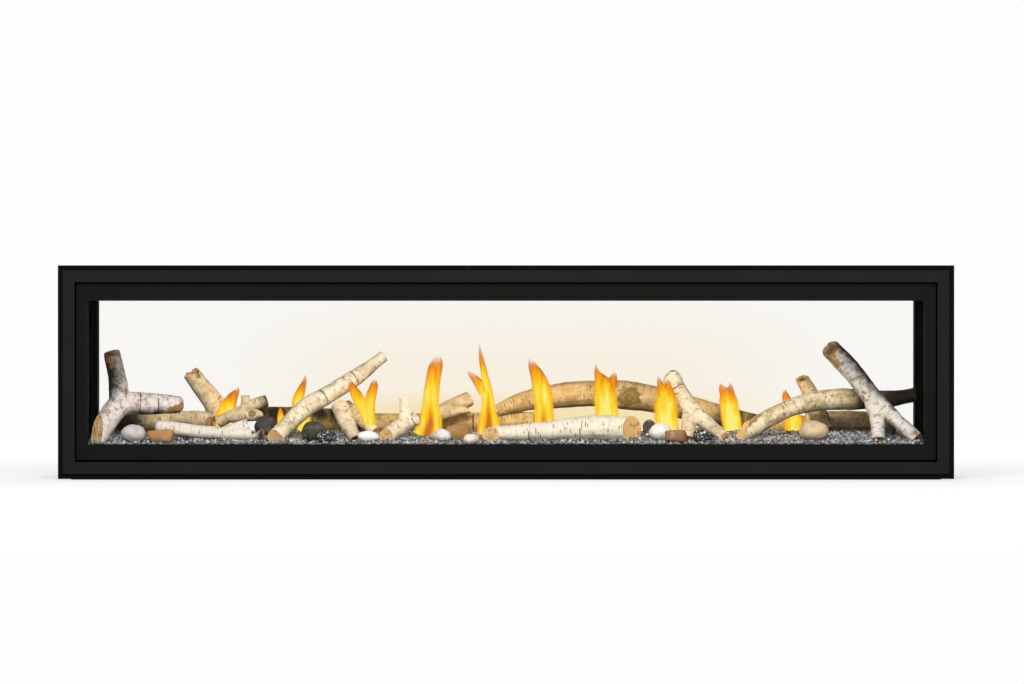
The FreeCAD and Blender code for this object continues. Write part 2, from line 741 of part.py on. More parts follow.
def valve_knob():
    back = V(knob_x, valve_front_y - KNOB_BOSS_L - KNOB_BACK_GAP, SUPPLY_Z)
    toward_user = V(0, -1, 0)
    bore_l = KNOB_SHAFT_L - KNOB_BACK_GAP + KNOB_END_GAP
    shape = rod(back, toward_user, KNOB_L, KNOB_R)
    shape = shape.cut(rod(back, toward_user, bore_l, KNOB_SHAFT_R + KNOB_FIT))
    flute_circle = KNOB_R + KNOB_FLUTE_R / 2
    for k in range(KNOB_FLUTES):
        angle = 2 * math.pi * k / KNOB_FLUTES
        offset = V(flute_circle * math.cos(angle), 0, flute_circle * math.sin(angle))
        shape = shape.cut(rod(back + offset, toward_user, KNOB_L, KNOB_FLUTE_R))
    return shape


def manifold_tube():
    x0 = valve_x1 + PORT_L
    return pipe(V(x0, 0, gas_z), AXIS_X, orifice_x - x0, MANIFOLD_R, MANIFOLD_BORE_R)


# Gas supply
shutoff_x0 = -body_edge.half + INLET_PIPE_L
stem_x = shutoff_x0 + SHUTOFF_L / 2
boss_top = SUPPLY_Z + SHUTOFF_BOSS_H


def gas_inlet_fitting():
    hex_start = V(-body_edge.half - INLET_HEX_L, SUPPLY_Y, SUPPLY_Z)
    panel = V(-body_edge.half, SUPPLY_Y, SUPPLY_Z)
    nut = hex_bar_x(hex_start, INLET_HEX_L, INLET_FLATS)
    body = join(nut, rod(panel, AXIS_X, INLET_PIPE_L, INLET_PIPE_R))
    body = body.cut(rod(hex_start, AXIS_X, INLET_HEX_L, INLET_THREAD_R))
    return body.cut(rod(panel, AXIS_X, INLET_PIPE_L, SUPPLY_BORE_R))


def shutoff_body():
    start = V(shutoff_x0, SUPPLY_Y, SUPPLY_Z)
    barrel = rod(start, AXIS_X, SHUTOFF_L, SHUTOFF_R)
    boss = rod(V(stem_x, SUPPLY_Y, SUPPLY_Z), V(0, 0, 1), SHUTOFF_BOSS_H, SHUTOFF_BOSS_R)
    stem = rod(V(stem_x, SUPPLY_Y, boss_top), V(0, 0, 1), LEVER_GAP + LEVER_T + STEM_TAIL, STEM_R)
    return join(barrel, boss, stem).cut(rod(start, AXIS_X, SHUTOFF_L, SUPPLY_BORE_R))


def shutoff_lever():
    z0 = boss_top + LEVER_GAP
    hub = rod(V(stem_x, SUPPLY_Y, z0), V(0, 0, 1), LEVER_T, LEVER_HUB_R)
    arm = box(stem_x, stem_x + LEVER_L, SUPPLY_Y - LEVER_W / 2, SUPPLY_Y + LEVER_W / 2, z0, z0 + LEVER_T)
    tip = rod(V(stem_x + LEVER_L, SUPPLY_Y, z0), V(0, 0, 1), LEVER_T, LEVER_W / 2)
    hole = rod(V(stem_x, SUPPLY_Y, z0), V(0, 0, 1), LEVER_T, STEM_R + STEM_FIT)
    return join(hub, arm, tip).cut(hole)


def gas_connector():
    route = [
        V(shutoff_x0 + SHUTOFF_L, SUPPLY_Y, SUPPLY_Z),
        V(valve_port_x, SUPPLY_Y, SUPPLY_Z),
        V(valve_port_x, VALVE_W / 2 + PORT_L, SUPPLY_Z),
    ]
    outside = bent_tube(route, CONNECTOR_BEND_R, CONNECTOR_R)
    return outside.cut(bent_tube(route, CONNECTOR_BEND_R, CONNECTOR_BORE_R))


# Pilot
pilot_x = -burner_half + PILOT_INSET
pilot_y0 = BURNER_W / 2 + BURNER_FLANGE_W + PILOT_GAP
pilot_y1 = pilot_y0 + PILOT_PLATE_W
pilot_y = (pilot_y0 + pilot_y1) / 2
pilot_plate_top = floor_top + PILOT_SHEET
pilot_shelf_z = floor_top + PILOT_SHELF_RISE


def electrode_points():
    return [V(pilot_x + side * ELECTRODE_SPREAD, pilot_y, pilot_plate_top) for side in (-1, 1)]


def pilot_bracket():
    x0 = pilot_x - PILOT_PLATE_L / 2
    x1 = pilot_x + PILOT_PLATE_L / 2
    shelf_top = pilot_shelf_z + PILOT_SHEET
    plate = box(x0, x1, pilot_y0, pilot_y1, floor_top, pilot_plate_top)
    back = box(x0, x1, pilot_y1 - PILOT_SHEET, pilot_y1, floor_top, floor_top + PILOT_BACK_H)
    shelf = box(x0, x1, pilot_y - PILOT_HOOD_R, pilot_y1, pilot_shelf_z, shelf_top)
    shape = join(plate, back, shelf)
    shape = shape.cut(rod(V(pilot_x, pilot_y, floor_top), V(0, 0, 1), pilot_shelf_z - floor_top,
                          PILOT_TUBE_R + PILOT_TUBE_FIT))
    for point in electrode_points():
        shape = shape.cut(rod(point, V(0, 0, 1), ELECTRODE_H, ELECTRODE_R + PILOT_TUBE_FIT))
    hood = pipe(V(pilot_x, pilot_y, shelf_top), V(0, 0, 1), PILOT_HOOD_H, PILOT_HOOD_R,
                PILOT_HOOD_R - PILOT_SHEET)
    flame_slot = box(pilot_x - PILOT_HOOD_SLOT / 2, pilot_x + PILOT_HOOD_SLOT / 2,
                     pilot_y - PILOT_HOOD_R, pilot_y, shelf_top + PILOT_HOOD_H / 2, shelf_top + PILOT_HOOD_H)
    return join(shape, hood.cut(flame_slot))


def pilot_electrodes():
    rods = [rod(point, V(0, 0, 1), ELECTRODE_H, ELECTRODE_R) for point in electrode_points()]
    return Part.makeCompound(rods)


def pilot_tube():
    start = V(valve_x1 + PORT_L, PILOT_PORT_Y, PILOT_PORT_Z)
    route = [
        start,
        start + V(PILOT_TUBE_RUN, 0, 0),
        V(pilot_x, pilot_y, PILOT_PORT_Z),
        V(pilot_x, pilot_y, pilot_shelf_z),
    ]
    return bent_tube(route, PILOT_TUBE_BEND_R, PILOT_TUBE_R)


# Controls
module_x1 = end_inner - MODULE_END_GAP
module_x0 = module_x1 - MODULE_L
module_top = base_top + MODULE_H
rocker_x = (module_x0 + module_x1) / 2
rocker_z = module_top - ROCKER_SINK
ACROSS = V(0, 1, 0)


def control_module():
    shape = box(module_x0, module_x1, -MODULE_W / 2, MODULE_W / 2, base_top, module_top)
    uprights = [edge for edge in shape.Edges if edge.BoundBox.ZLength > MODULE_H / 2]
    shape = shape.makeFillet(MODULE_EDGE_R, uprights)
    half = ROCKER_W / 2 + ROCKER_FIT
    well = rod(V(rocker_x, -half, rocker_z), ACROSS, 2 * half, ROCKER_R + ROCKER_FIT)
    pin_half = ROCKER_W / 2 + ROCKER_PIN_L + ROCKER_FIT
    pin_hole = rod(V(rocker_x, -pin_half, rocker_z), ACROSS, 2 * pin_half, ROCKER_PIN_R + ROCKER_PIN_FIT)
    return shape.cut(well).cut(pin_hole)


def rocker_switch():
    start = V(rocker_x, -ROCKER_W / 2, rocker_z)
    drum = rod(start, ACROSS, ROCKER_W, ROCKER_R)
    for side in (-1, 1):
        x0, x1 = sorted((rocker_x, rocker_x + side * 2 * ROCKER_R))
        slope = box(x0, x1, -ROCKER_W, ROCKER_W, rocker_z + ROCKER_CROWN, rocker_z + 2 * ROCKER_R)
        slope.rotate(V(rocker_x, 0, rocker_z + ROCKER_CROWN), ACROSS, -side * ROCKER_DISH)
        drum = drum.cut(slope)
    pin_half = ROCKER_W / 2 + ROCKER_PIN_L
    shape = join(drum, rod(V(rocker_x, -pin_half, rocker_z), ACROSS, 2 * pin_half, ROCKER_PIN_R))
    shape.rotate(V(rocker_x, 0, rocker_z), ACROSS, -ROCKER_SWING / 2)
    return shape


def cover_opening(margin, z0, z1):
    reach_x0 = module_x0 - COVER_MARGIN - margin
    reach_x1 = module_x1 + COVER_MARGIN + margin
    reach_y = MODULE_W / 2 + COVER_MARGIN + margin
    return box(reach_x0, reach_x1, -reach_y, reach_y, z0, z1)


def control_access_cover():
    return cover_opening(COVER_LAP, floor_top, floor_top + COVER_T)


def firebox_floor():
    plate = box(-firebox_half, firebox_half, -body_half_w, body_half_w, floor_under, floor_top)
    plate = plate.cut(burner_footprint(BURNER_FIT, floor_under, floor_top))
    plate = plate.cut(cover_opening(0, floor_under, floor_top))
    return plate.cut(rod(V(pilot_x, pilot_y, floor_under), V(0, 0, 1), SHELL_SHEET, FLOOR_GLAND_R))


# Media, logs and stones
bed_half = firebox_half - BED_END_GAP
bed_edge_z = opening.bottom + BED_ABOVE_SILL
bed_crown_z = bed_edge_z + BED_RISE
log_stretch_x = firebox_half / LOG_SET_HALF_L
log_stretch_y = body_half_w / LOG_SET_HALF_W


def bed_height(y):
    slope = (body_half_w - abs(y)) / (body_half_w - BED_FLAT_HALF)
    return bed_edge_z + BED_RISE * min(1.0, slope)


def stations(start, end):
    """Evenly spaced places from start up to, not including, end."""
    count = max(1, round((end - start) / HEAP_PITCH))
    return [start + (end - start) * k / count for k in range(count)]


def heap_points():
    """Rows of points on the media, uneven inside and level along the walls and the sills."""
    chance = random.Random(HEAP_SEED)
    depths = stations(-body_half_w, body_half_w) + [body_half_w]
    rows = []
    for x in stations(-bed_half, bed_half) + [bed_half]:
        in_length = abs(x) < bed_half
        x += in_length * chance.uniform(-HEAP_SHIFT, HEAP_SHIFT)
        row = []
        for y in depths:
            inside = in_length and abs(y) < body_half_w
            y += inside * chance.uniform(-HEAP_SHIFT, HEAP_SHIFT)
            row.append(V(x, y, bed_height(y) + inside * chance.uniform(-HEAP_RISE, HEAP_RISE)))
        rows.append(row)
    return rows


def flat_face(corners):
    return Part.Face(Part.makePolygon(corners + corners[:1]))


def on_level(points, z):
    return [V(point.x, point.y, z) for point in points]


def bed_block(rows, bottom):
    """The media between the first and the last row, down to the bottom."""
    faces = []
    for near, far in zip(rows, rows[1:]):
        for k in range(len(near) - 1):
            faces.append(flat_face([near[k], far[k], far[k + 1]]))
            faces.append(flat_face([near[k], far[k + 1], near[k + 1]]))
    front = [row[0] for row in rows]
    rear = [row[-1] for row in rows]
    for edge in (rows[0], rows[-1], front, rear):
        faces.append(flat_face(edge + on_level(edge[::-1], bottom)))
    around = rows[0] + rear[1:-1] + rows[-1][::-1] + front[-2:0:-1]
    faces.append(flat_face(on_level(around, bottom)))
    shell = Part.Shell(faces)
    shell.sewShape()
    return Part.Solid(shell)


heaps = heap_points()


def media_bed():
    shape = bed_block(heaps, floor_top)
    shape = shape.cut(burner_footprint(BURNER_FLANGE_W, floor_top, floor_top + BURNER_SHEET))
    shape = shape.cut(burner_footprint(0, floor_top, burner_rim_z + BURNER_TOP_T))
    shape = shape.cut(control_access_cover())
    pocket_half = PILOT_PLATE_L / 2 + PILOT_POCKET_GAP
    pocket = box(pilot_x - pocket_half, pilot_x + pocket_half, pilot_y0 - PILOT_POCKET_GAP,
                 pilot_y1 + PILOT_POCKET_GAP, floor_top, bed_crown_z + HEAP_RISE)
    return shape.cut(pocket)


def ground_under(shape):
    """The stretch of media that a shape stands on, down to the foot of the cabinet."""
    reach = shape.BoundBox
    first = max(k for k, row in enumerate(heaps) if k == 0 or row[0].x < reach.XMin)
    last = min(k for k, row in enumerate(heaps) if k == len(heaps) - 1 or row[0].x > reach.XMax)
    return bed_block(heaps[first:last + 1], 0)


def limb(points):
    centres = []
    for x, y, height, radius in points:
        y_place = y * log_stretch_y
        centres.append(V(x * log_stretch_x, y_place, bed_height(y_place) + height))
    wires = []
    side = V(0, 1, 0)
    for k, centre in enumerate(centres):
        along = centres[min(k + 1, len(centres) - 1)] - centres[max(k - 1, 0)]
        along.normalize()
        side = (side - along * side.dot(along)).normalize()
        circle = Part.makeCircle(points[k][3], V(0, 0, 0), V(0, 0, 1))
        turn = FreeCAD.Rotation(side, along.cross(side), along, "ZXY")
        circle.Placement = FreeCAD.Placement(centre, turn)
        wires.append(Part.Wire([circle]))
    return Part.makeLoft(wires, True)


def largest_solid(shape):
    return max(shape.Solids, key=lambda solid: solid.Volume)


def seated(shape, neighbours):
    for other in neighbours:
        if shape.BoundBox.intersect(other.BoundBox):
            shape = largest_solid(shape.cut(other))
    return shape


def log_set():
    placed = []
    nodes = {}
    for name, pieces in LOGS.items():
        solids = []
        for limbs in pieces:
            shape = limb(limbs[0])
            for extra in limbs[1:]:
                shape = join(shape, limb(extra))
            shape = seated(largest_solid(shape), [ground_under(shape)] + placed)
            placed.append(shape)
            solids.append(shape)
        nodes[name] = Part.makeCompound(solids) if len(solids) > 1 else solids[0]
    return nodes, placed


def river_stones(placed):
    stones = []
    for x, y, half_l, half_w, half_h, turn in STONES:
        scale = FreeCAD.Matrix()
        scale.scale(half_l, half_w, half_h)
        stone = Part.makeSphere(1.0).transformGeometry(scale)
        stone.rotate(V(0, 0, 0), V(0, 0, 1), turn)
        y_place = y * log_stretch_y
        stone.translate(V(x * log_stretch_x, y_place, bed_height(y_place) + half_h - ROCK_SINK))
        stone = seated(stone, [ground_under(stone)] + placed + stones)
        stones.append(stone)
    return Part.makeCompound(stones)


# Build every node
log_nodes, log_solids = log_set()
nodes = {
    "base_pan": base_pan(),
    "cabinet_top": cabinet_top(),
    "cabinet_end_left": cabinet_end_left(),
    "cabinet_end_right": cabinet_end_right(),
    "cabinet_screws": cabinet_screws(),
    "firebox_end_left": firebox_end(-1),
    "firebox_end_right": firebox_end(1),
    "firebox_ceiling": firebox_ceiling(),
    "firebox_floor": firebox_floor(),
    "ceiling_baffle": ceiling_baffle(),
    "flue_collar": collar(FLUE_R, ceiling_z + SHELL_SHEET),
    "air_collar": collar(AIR_R, cabinet_top_z),
    "burner_tub": burner_tub(),
    "burner_top": burner_top(),
    "venturi_tube": venturi_tube(),
    "air_shutter": air_shutter(),
    "orifice_fitting": orifice_fitting(),
    "manifold_tube": manifold_tube(),
    "gas_valve": gas_valve(),
    "valve_knob": valve_knob(),
    "gas_inlet_fitting": gas_inlet_fitting(),
    "shutoff_body": shutoff_body(),
    "shutoff_lever": shutoff_lever(),
    "gas_connector": gas_connector(),
    "pilot_bracket": pilot_bracket(),
    "pilot_electrodes": pilot_electrodes(),
    "pilot_tube": pilot_tube(),
    "control_module": control_module(),
    "rocker_switch": rocker_switch(),
    "control_access_cover": control_access_cover(),
    "media_bed": media_bed(),
    "river_stones": river_stones(log_solids),
}
for piece, make in (("surround", front_surround), ("face_frame", front_face_frame),
                    ("door_frame", front_door_frame), ("glass", front_glass),
                    ("glass_gasket", front_gasket), ("glass_clips", front_clips)):
    nodes["front_" + piece] = make()
    nodes["rear_" + piece] = turned(nodes["front_" + piece])
nodes["door_magnets"] = Part.makeCompound(front_magnets() + [turned(block) for block in front_magnets()])
nodes.update(log_nodes)

os.makedirs("parts", exist_ok=True)
for name, shape in nodes.items():
    shape.exportStep("parts/" + name + ".step")
    print(name, len(shape.Solids), round(sum(solid.Volume for solid in shape.Solids)), shape.isValid())
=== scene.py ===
# %% [markdown]
# # A double-sided gas fireplace
# The steelwork, the glazed doors, the gas train and the place of every log come from the CAD model,
# which is loaded here as a fixed frame. Blender adds what a drawing office leaves out: the finish of
# every surface, the birch bark, the broken glass on the burner, the stones and the fire itself. One
# Blender unit is one metre.

# %% Load the frame
import math
import random
import bmesh
import bpy
import numpy as np
from mathutils import Euler, Matrix, Vector, noise


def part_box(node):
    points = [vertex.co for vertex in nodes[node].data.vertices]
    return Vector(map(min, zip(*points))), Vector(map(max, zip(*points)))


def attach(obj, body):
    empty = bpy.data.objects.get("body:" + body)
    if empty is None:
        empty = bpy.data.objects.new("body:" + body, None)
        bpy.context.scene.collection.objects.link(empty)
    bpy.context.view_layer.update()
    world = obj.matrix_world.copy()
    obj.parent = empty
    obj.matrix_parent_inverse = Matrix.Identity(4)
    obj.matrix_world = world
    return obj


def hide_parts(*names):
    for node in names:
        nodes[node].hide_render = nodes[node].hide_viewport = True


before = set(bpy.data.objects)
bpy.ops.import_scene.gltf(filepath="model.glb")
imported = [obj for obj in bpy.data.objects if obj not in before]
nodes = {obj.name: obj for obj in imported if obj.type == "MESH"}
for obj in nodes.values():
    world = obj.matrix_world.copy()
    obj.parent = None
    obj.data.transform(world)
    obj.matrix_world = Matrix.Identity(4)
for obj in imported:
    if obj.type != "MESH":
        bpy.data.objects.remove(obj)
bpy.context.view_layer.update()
MM = 0.001

# %% [markdown]
# ## Shader maths as Python sums
# A finish is a small network of nodes. Wiring it by hand in the editor is clear for three nodes and a
# maze for thirty, so a socket is wrapped in a class here: adding or multiplying two wires drops the
# Math node in between. Any other node comes from one method, which sets the node up first and then
# fills its sockets.

# %% The wire
class Wire:
    """An output socket of a finish; sums of wires and numbers add Math nodes."""

    def __init__(self, finish, socket):
        self.finish = finish
        self.socket = socket

    def math(self, operation, first, second):
        return self.finish.node("Math", {"operation": operation}, {0: first, 1: second})

    def __add__(self, other):
        return self.math("ADD", self, other)

    def __radd__(self, other):
        return self.math("ADD", other, self)

    def __sub__(self, other):
        return self.math("SUBTRACT", self, other)

    def __rsub__(self, other):
        return self.math("SUBTRACT", other, self)

    def __mul__(self, other):
        return self.math("MULTIPLY", self, other)

    def __rmul__(self, other):
        return self.math("MULTIPLY", other, self)

    def __abs__(self):
        return self.math("ABSOLUTE", self, 0.0)

# %% The finish
class Finish:
    """A material in the making."""

    def __init__(self, name):
        self.material = bpy.data.materials.new(name)
        self.material.use_nodes = True
        self.tree = self.material.node_tree
        self.tree.nodes.clear()

    def node(self, kind, settings=None, inputs=None, output=0):
        made = self.tree.nodes.new("ShaderNode" + kind)
        for key, value in (settings or {}).items():
            if key == "stops":
                self.set_stops(made.color_ramp, value)
            else:
                setattr(made, key, value)
        for key, value in (inputs or {}).items():
            socket = made.inputs[key]
            if isinstance(value, Wire):
                self.tree.links.new(value.socket, socket)
            elif socket.type == "RGBA":
                socket.default_value = (*value, 1.0)
            else:
                socket.default_value = value
        return Wire(self, made.outputs[output]) if len(made.outputs) else None

    @staticmethod
    def set_stops(ramp, stops):
        while len(ramp.elements) < len(stops):
            ramp.elements.new(1.0)
        for element, (place, color) in zip(ramp.elements, stops):
            element.position = place
            element.color = (*color, 1.0)

    def place(self, scale=(1.0, 1.0, 1.0)):
        """Object coordinates in metres, stretched by scale."""
        spot = self.node("TexCoord", output="Object")
        return self.node("Mapping", {}, {"Vector": spot, "Scale": scale})

    def axis(self, vector, name):
        return self.node("SeparateXYZ", {}, {"Vector": vector}, name)

    def grain(self, vector, scale, detail=3.0, rough=0.55):
        return self.node("TexNoise", {}, {"Vector": vector, "Scale": scale, "Detail": detail,
                                          "Roughness": rough})

    def step(self, value, low, high):
        """Rises smoothly from 0 at low to 1 at high, or falls if low is above high."""
        flip = low > high
        low, high = sorted((low, high))
        ends = {"To Min": 1.0, "To Max": 0.0} if flip else {}
        return self.node("MapRange", {"interpolation_type": "SMOOTHSTEP"},
                         {"Value": value, "From Min": low, "From Max": high, **ends})

    def own(self, name, output="Fac"):
        """A value that the piece carries at each of its vertices."""
        return self.node("Attribute", {"attribute_name": name}, {}, output)

    def mix(self, first, second, factor):
        """A colour between two others."""
        return self.node("Mix", {"data_type": "RGBA"}, {0: factor, 6: first, 7: second}, 2)

    def blend(self, factor, first, second):
        """A shader between two others."""
        return self.node("MixShader", {}, {0: factor, 1: first, 2: second})

    def bump(self, height, strength, distance):
        return self.node("Bump", {}, {"Height": height, "Strength": strength, "Distance": distance})

    def surface(self, inputs):
        """Ends the network in a Principled shader and hands back the material."""
        return self.end(self.node("BsdfPrincipled", {}, inputs))

    def end(self, shader):
        self.node("OutputMaterial", {}, {"Surface": shader})
        return self.material

# %% [markdown]
# ## Camera, floor and light
# The picture was taken from far away with a long lens, at the height of the surround's top edge: the
# far opening is nearly as large as the near one, and hardly any of the floor shows. A camera nineteen
# metres off with a lens of about 309 mm gives the same flat perspective.

# %% Camera
CAMERA_DISTANCE = 19.2
CAMERA_HEIGHT = 0.470
CAMERA_AIM_X = 0.013
FACE_Y = -0.260
LENS = 309.35
PITCH_DOWN = math.radians(0.5052)


def link(obj):
    bpy.context.scene.collection.objects.link(obj)
    return obj


camera_data = bpy.data.cameras.new("camera")
camera_data.lens = LENS
camera_data.sensor_width = 36.0
camera_data.clip_end = 400.0
camera = link(bpy.data.objects.new("camera", camera_data))
camera.location = (CAMERA_AIM_X, FACE_Y - CAMERA_DISTANCE, CAMERA_HEIGHT)
camera.rotation_euler = (math.pi / 2 - PITCH_DOWN, 0.0, 0.0)
bpy.context.scene.camera = camera
bpy.context.scene.view_settings.view_transform = "Standard"
print("camera", tuple(round(value, 3) for value in camera.location))

# %% [markdown]
# The world is a plain white studio. Rays that carry light to the object see a softer white than the
# camera does, so the background can be white while the object is lit at a plain level. Glossy and
# see-through rays see the same white as the camera, so that steel and glass mirror the room they stand
# in.

# %% World
WORLD_LIGHT = 0.52
STUDIO_WHITE = (1.0, 0.992, 0.980)
world = bpy.data.worlds.new("studio")
bpy.context.scene.world = world
world.use_nodes = True
tree = world.node_tree
tree.nodes.clear()


def seen_ray(tree):
    """A socket that is 1 for camera, glossy and see-through rays and 0 for light."""
    path = tree.nodes.new("ShaderNodeLightPath")
    seen = path.outputs["Is Camera Ray"]
    for name in ("Is Glossy Ray", "Is Transmission Ray"):
        either = tree.nodes.new("ShaderNodeMath")
        either.operation = "MAXIMUM"
        tree.links.new(seen, either.inputs[0])
        tree.links.new(path.outputs[name], either.inputs[1])
        seen = either.outputs[0]
    return seen


level = tree.nodes.new("ShaderNodeMapRange")
level.inputs["To Min"].default_value = WORLD_LIGHT
level.inputs["To Max"].default_value = 1.0
tree.links.new(seen_ray(tree), level.inputs["Value"])
sky = tree.nodes.new("ShaderNodeBackground")
sky.inputs["Color"].default_value = (*STUDIO_WHITE, 1.0)
tree.links.new(level.outputs[0], sky.inputs["Strength"])
sky_out = tree.nodes.new("ShaderNodeOutputWorld")
tree.links.new(sky.outputs[0], sky_out.inputs["Surface"])
print("world at", WORLD_LIGHT, "for light and 1.0 for what is seen")

# %% [markdown]
# The floor is one large pale disc. Near the fireplace it is an ordinary matt surface that takes the
# shadow; further out it fades into the same white as the world, so no horizon shows through the
# opening.

# %% Floor
FLOOR_RADIUS = 160.0
FLOOR_FADE_START = 1.2
FLOOR_FADE_END = 6.0
FLOOR_WHITE_NEAR = 0.55


def mesh_from(bm, name):
    """Turns a bmesh into a mesh and lets it go."""
    mesh = bpy.data.meshes.new(name)
    bm.to_mesh(mesh)
    bm.free()
    return mesh


disc = bmesh.new()
bmesh.ops.create_circle(disc, cap_ends=True, segments=96, radius=FLOOR_RADIUS)
floor = link(bpy.data.objects.new("floor", mesh_from(disc, "floor")))
pale = Finish("pale_floor")
away = pale.node("VectorMath", {"operation": "LENGTH"}, {0: pale.place()}, "Value")
matt = pale.node("BsdfDiffuse", {}, {"Color": (0.93, 0.925, 0.915)})
white = pale.node("Emission", {}, {"Color": STUDIO_WHITE})
seen = Wire(pale, seen_ray(pale.tree))
fade = FLOOR_WHITE_NEAR + pale.step(away, FLOOR_FADE_START, FLOOR_FADE_END) * (1.0 - FLOOR_WHITE_NEAR)
floor.data.materials.append(pale.end(pale.blend(fade * seen, matt, white)))
print("floor disc of", FLOOR_RADIUS, "m")

# %% [markdown]
# Three large soft lamps shape the object: a key from above in front, a weak fill low on the right, and
# a key behind, so that the far side is not dull when someone walks round it. A sun would be simpler to
# set up, but it would throw hard shadows of the logs on the bed.

# %% Studio lamps
MIDDLE = (0.0, 0.0, 0.2)
LAMPS = {
    "key": ((-0.3, -4.5, 2.4), (1.8, 1.2), 190.0),
    "fill": ((1.8, -4.4, 1.0), (2.0, 1.5), 30.0),
    "rear_key": ((0.3, 4.5, 2.4), (1.8, 1.2), 120.0),
}


def soft_lamp(name, place, size, power):
    data = bpy.data.lights.new(name, "AREA")
    data.shape = "RECTANGLE"
    data.size, data.size_y = size
    data.energy = power
    lamp = link(bpy.data.objects.new(name, data))
    lamp.location = place
    lamp.rotation_euler = (Vector(MIDDLE) - Vector(place)).to_track_quat("-Z", "Y").to_euler()
    lamp.visible_camera = False
    lamp.visible_glossy = False


for name, (place, size, power) in LAMPS.items():
    soft_lamp(name, place, size, power)
print(len(LAMPS), "soft lamps")

# %% [markdown]
# ## Black steel
# The trim and the doors are folded sheet with a satin black powder coat. Close up, powder coat is not
# flat: it has a faint orange-peel ripple. Light and shade are painted into its colour: the raised face
# is painted a shade lighter where it catches the room, the recessed door band a little darker, and the
# set-back flange darkest, as painted shade in the recesses. The raised faces are told from the set-back
# flange by their depth, so one finish serves the whole trim.

# %% Powder coat
RAISED_FACE_Y = 0.2755
LIP_Y = 0.2660
FOLD = 0.001


def paint(material, *names):
    for name in names:
        slots = nodes[name].data.materials
        slots.clear()
        slots.append(material)
    print(material.name, "on", ", ".join(names))


def powder_coat():
    finish = Finish("satin_black_powder_coat")
    spot = finish.place()
    depth = abs(finish.axis(spot, "Y"))
    raised = finish.step(depth, RAISED_FACE_Y - FOLD, RAISED_FACE_Y + FOLD)
    shaded_lip = finish.step(depth, LIP_Y - FOLD, LIP_Y + FOLD) * (1.0 - raised)
    cloud = finish.grain(spot, 9.0, 4.0)
    # Painted light and shade: the raised face lighter, the recessed band darker, the set-back flange
    # darkest.
    coat = finish.mix((0.0062, 0.0059, 0.0057), (0.0096, 0.0092, 0.0088), raised)
    coat = finish.mix(coat, (0.0022, 0.0021, 0.0020), shaded_lip)
    coat = finish.mix(coat, (0.0130, 0.0125, 0.0120), finish.step(cloud, 0.45, 0.65) * raised * 0.40)
    peel = finish.grain(spot, 620.0, 2.0)
    dust = finish.grain(spot, 60.0, 4.0)
    return finish.surface({
        "Base Color": coat,
        "Roughness": 0.40 + dust * 0.12,
        "Specular IOR Level": 0.05,
        "Normal": finish.bump(peel, 0.10, 0.0004),
    })


paint(powder_coat(), "front_surround", "rear_surround", "front_door_frame", "rear_door_frame",
      "front_face_frame", "rear_face_frame")

# %% [markdown]
# Inside the firebox the sheet is painted with a matt heat-resisting black, clouded with soot. Flat black
# would do while the doors are shut, but an open door lets light in on the end walls, so coarse noise
# gives the paint its clouds and fine noise its tooth.

# %% Firebox paint
def firebox_paint():
    finish = Finish("matt_firebox_black")
    spot = finish.place()
    soot = finish.grain(spot, 26.0, 5.0, 0.65)
    coat = finish.mix((0.0022, 0.0021, 0.0020), (0.0060, 0.0057, 0.0053), finish.step(soot, 0.40, 0.75))
    return finish.surface({
        "Base Color": coat,
        "Roughness": 0.80 + soot * 0.2,
        "Specular IOR Level": 0.0,
        "Normal": finish.bump(finish.grain(spot, 900.0, 2.0), 0.08, 0.0003),
    })


paint(firebox_paint(), "firebox_end_left", "firebox_end_right", "firebox_ceiling", "firebox_floor",
      "ceiling_baffle", "control_access_cover")

# %% [markdown]
# ## The metals that the wall hides
# The cabinet is galvanised sheet. Zinc freezes in flat crystals, the spangle, which a Voronoi pattern
# gives: each cell has its own grey and its own gloss.

# %% Galvanised sheet
def galvanised():
    finish = Finish("galvanised_spangle")
    spot = finish.place()
    drift = finish.node("VectorMath", {"operation": "ADD"},
                        {0: spot, 1: finish.node("TexNoise", {}, {"Vector": spot, "Scale": 30.0}, "Color")})
    crystal = finish.node("TexVoronoi", {}, {"Vector": drift, "Scale": 70.0}, "Color")
    shade = finish.axis(crystal, "X")
    streak = finish.grain(finish.place((4.0, 4.0, 60.0)), 6.0, 4.0)
    zinc = finish.mix((0.40, 0.42, 0.44), (0.62, 0.64, 0.66), shade)
    zinc = finish.mix(zinc, (0.36, 0.36, 0.35), finish.step(streak, 0.55, 0.85) * 0.5)
    return finish.surface({
        "Base Color": zinc,
        "Metallic": 0.92,
        "Roughness": 0.30 + shade * 0.22,
        "Normal": finish.bump(shade, 0.05, 0.0005),
    })


paint(galvanised(), "base_pan", "cabinet_top", "cabinet_end_left", "cabinet_end_right", "flue_collar",
      "air_collar")

# %% [markdown]
# The burner, the tubes and the fittings are plain stainless, aluminium and brass. Drawing and turning
# leave fine marks that run one way, so noise is stretched along that axis; only the colours, the gloss
# and the direction differ from metal to metal.

# %% Other metals
def drawn_metal(name, light, dark, roughness, stretch):
    """Bare metal with fine marks that run along one axis and a little staining."""
    finish = Finish(name)
    marks = finish.grain(finish.place(stretch), 40.0, 5.0, 0.6)
    stain = finish.grain(finish.place(), 22.0, 4.0)
    metal = finish.mix(dark, light, finish.step(marks, 0.25, 0.75))
    metal = finish.mix(metal, dark, finish.step(stain, 0.55, 0.85) * 0.6)
    return finish.surface({
        "Base Color": metal,
        "Metallic": 1.0,
        "Roughness": roughness + stain * 0.18,
        "Normal": finish.bump(marks, 0.06, 0.0003),
    })


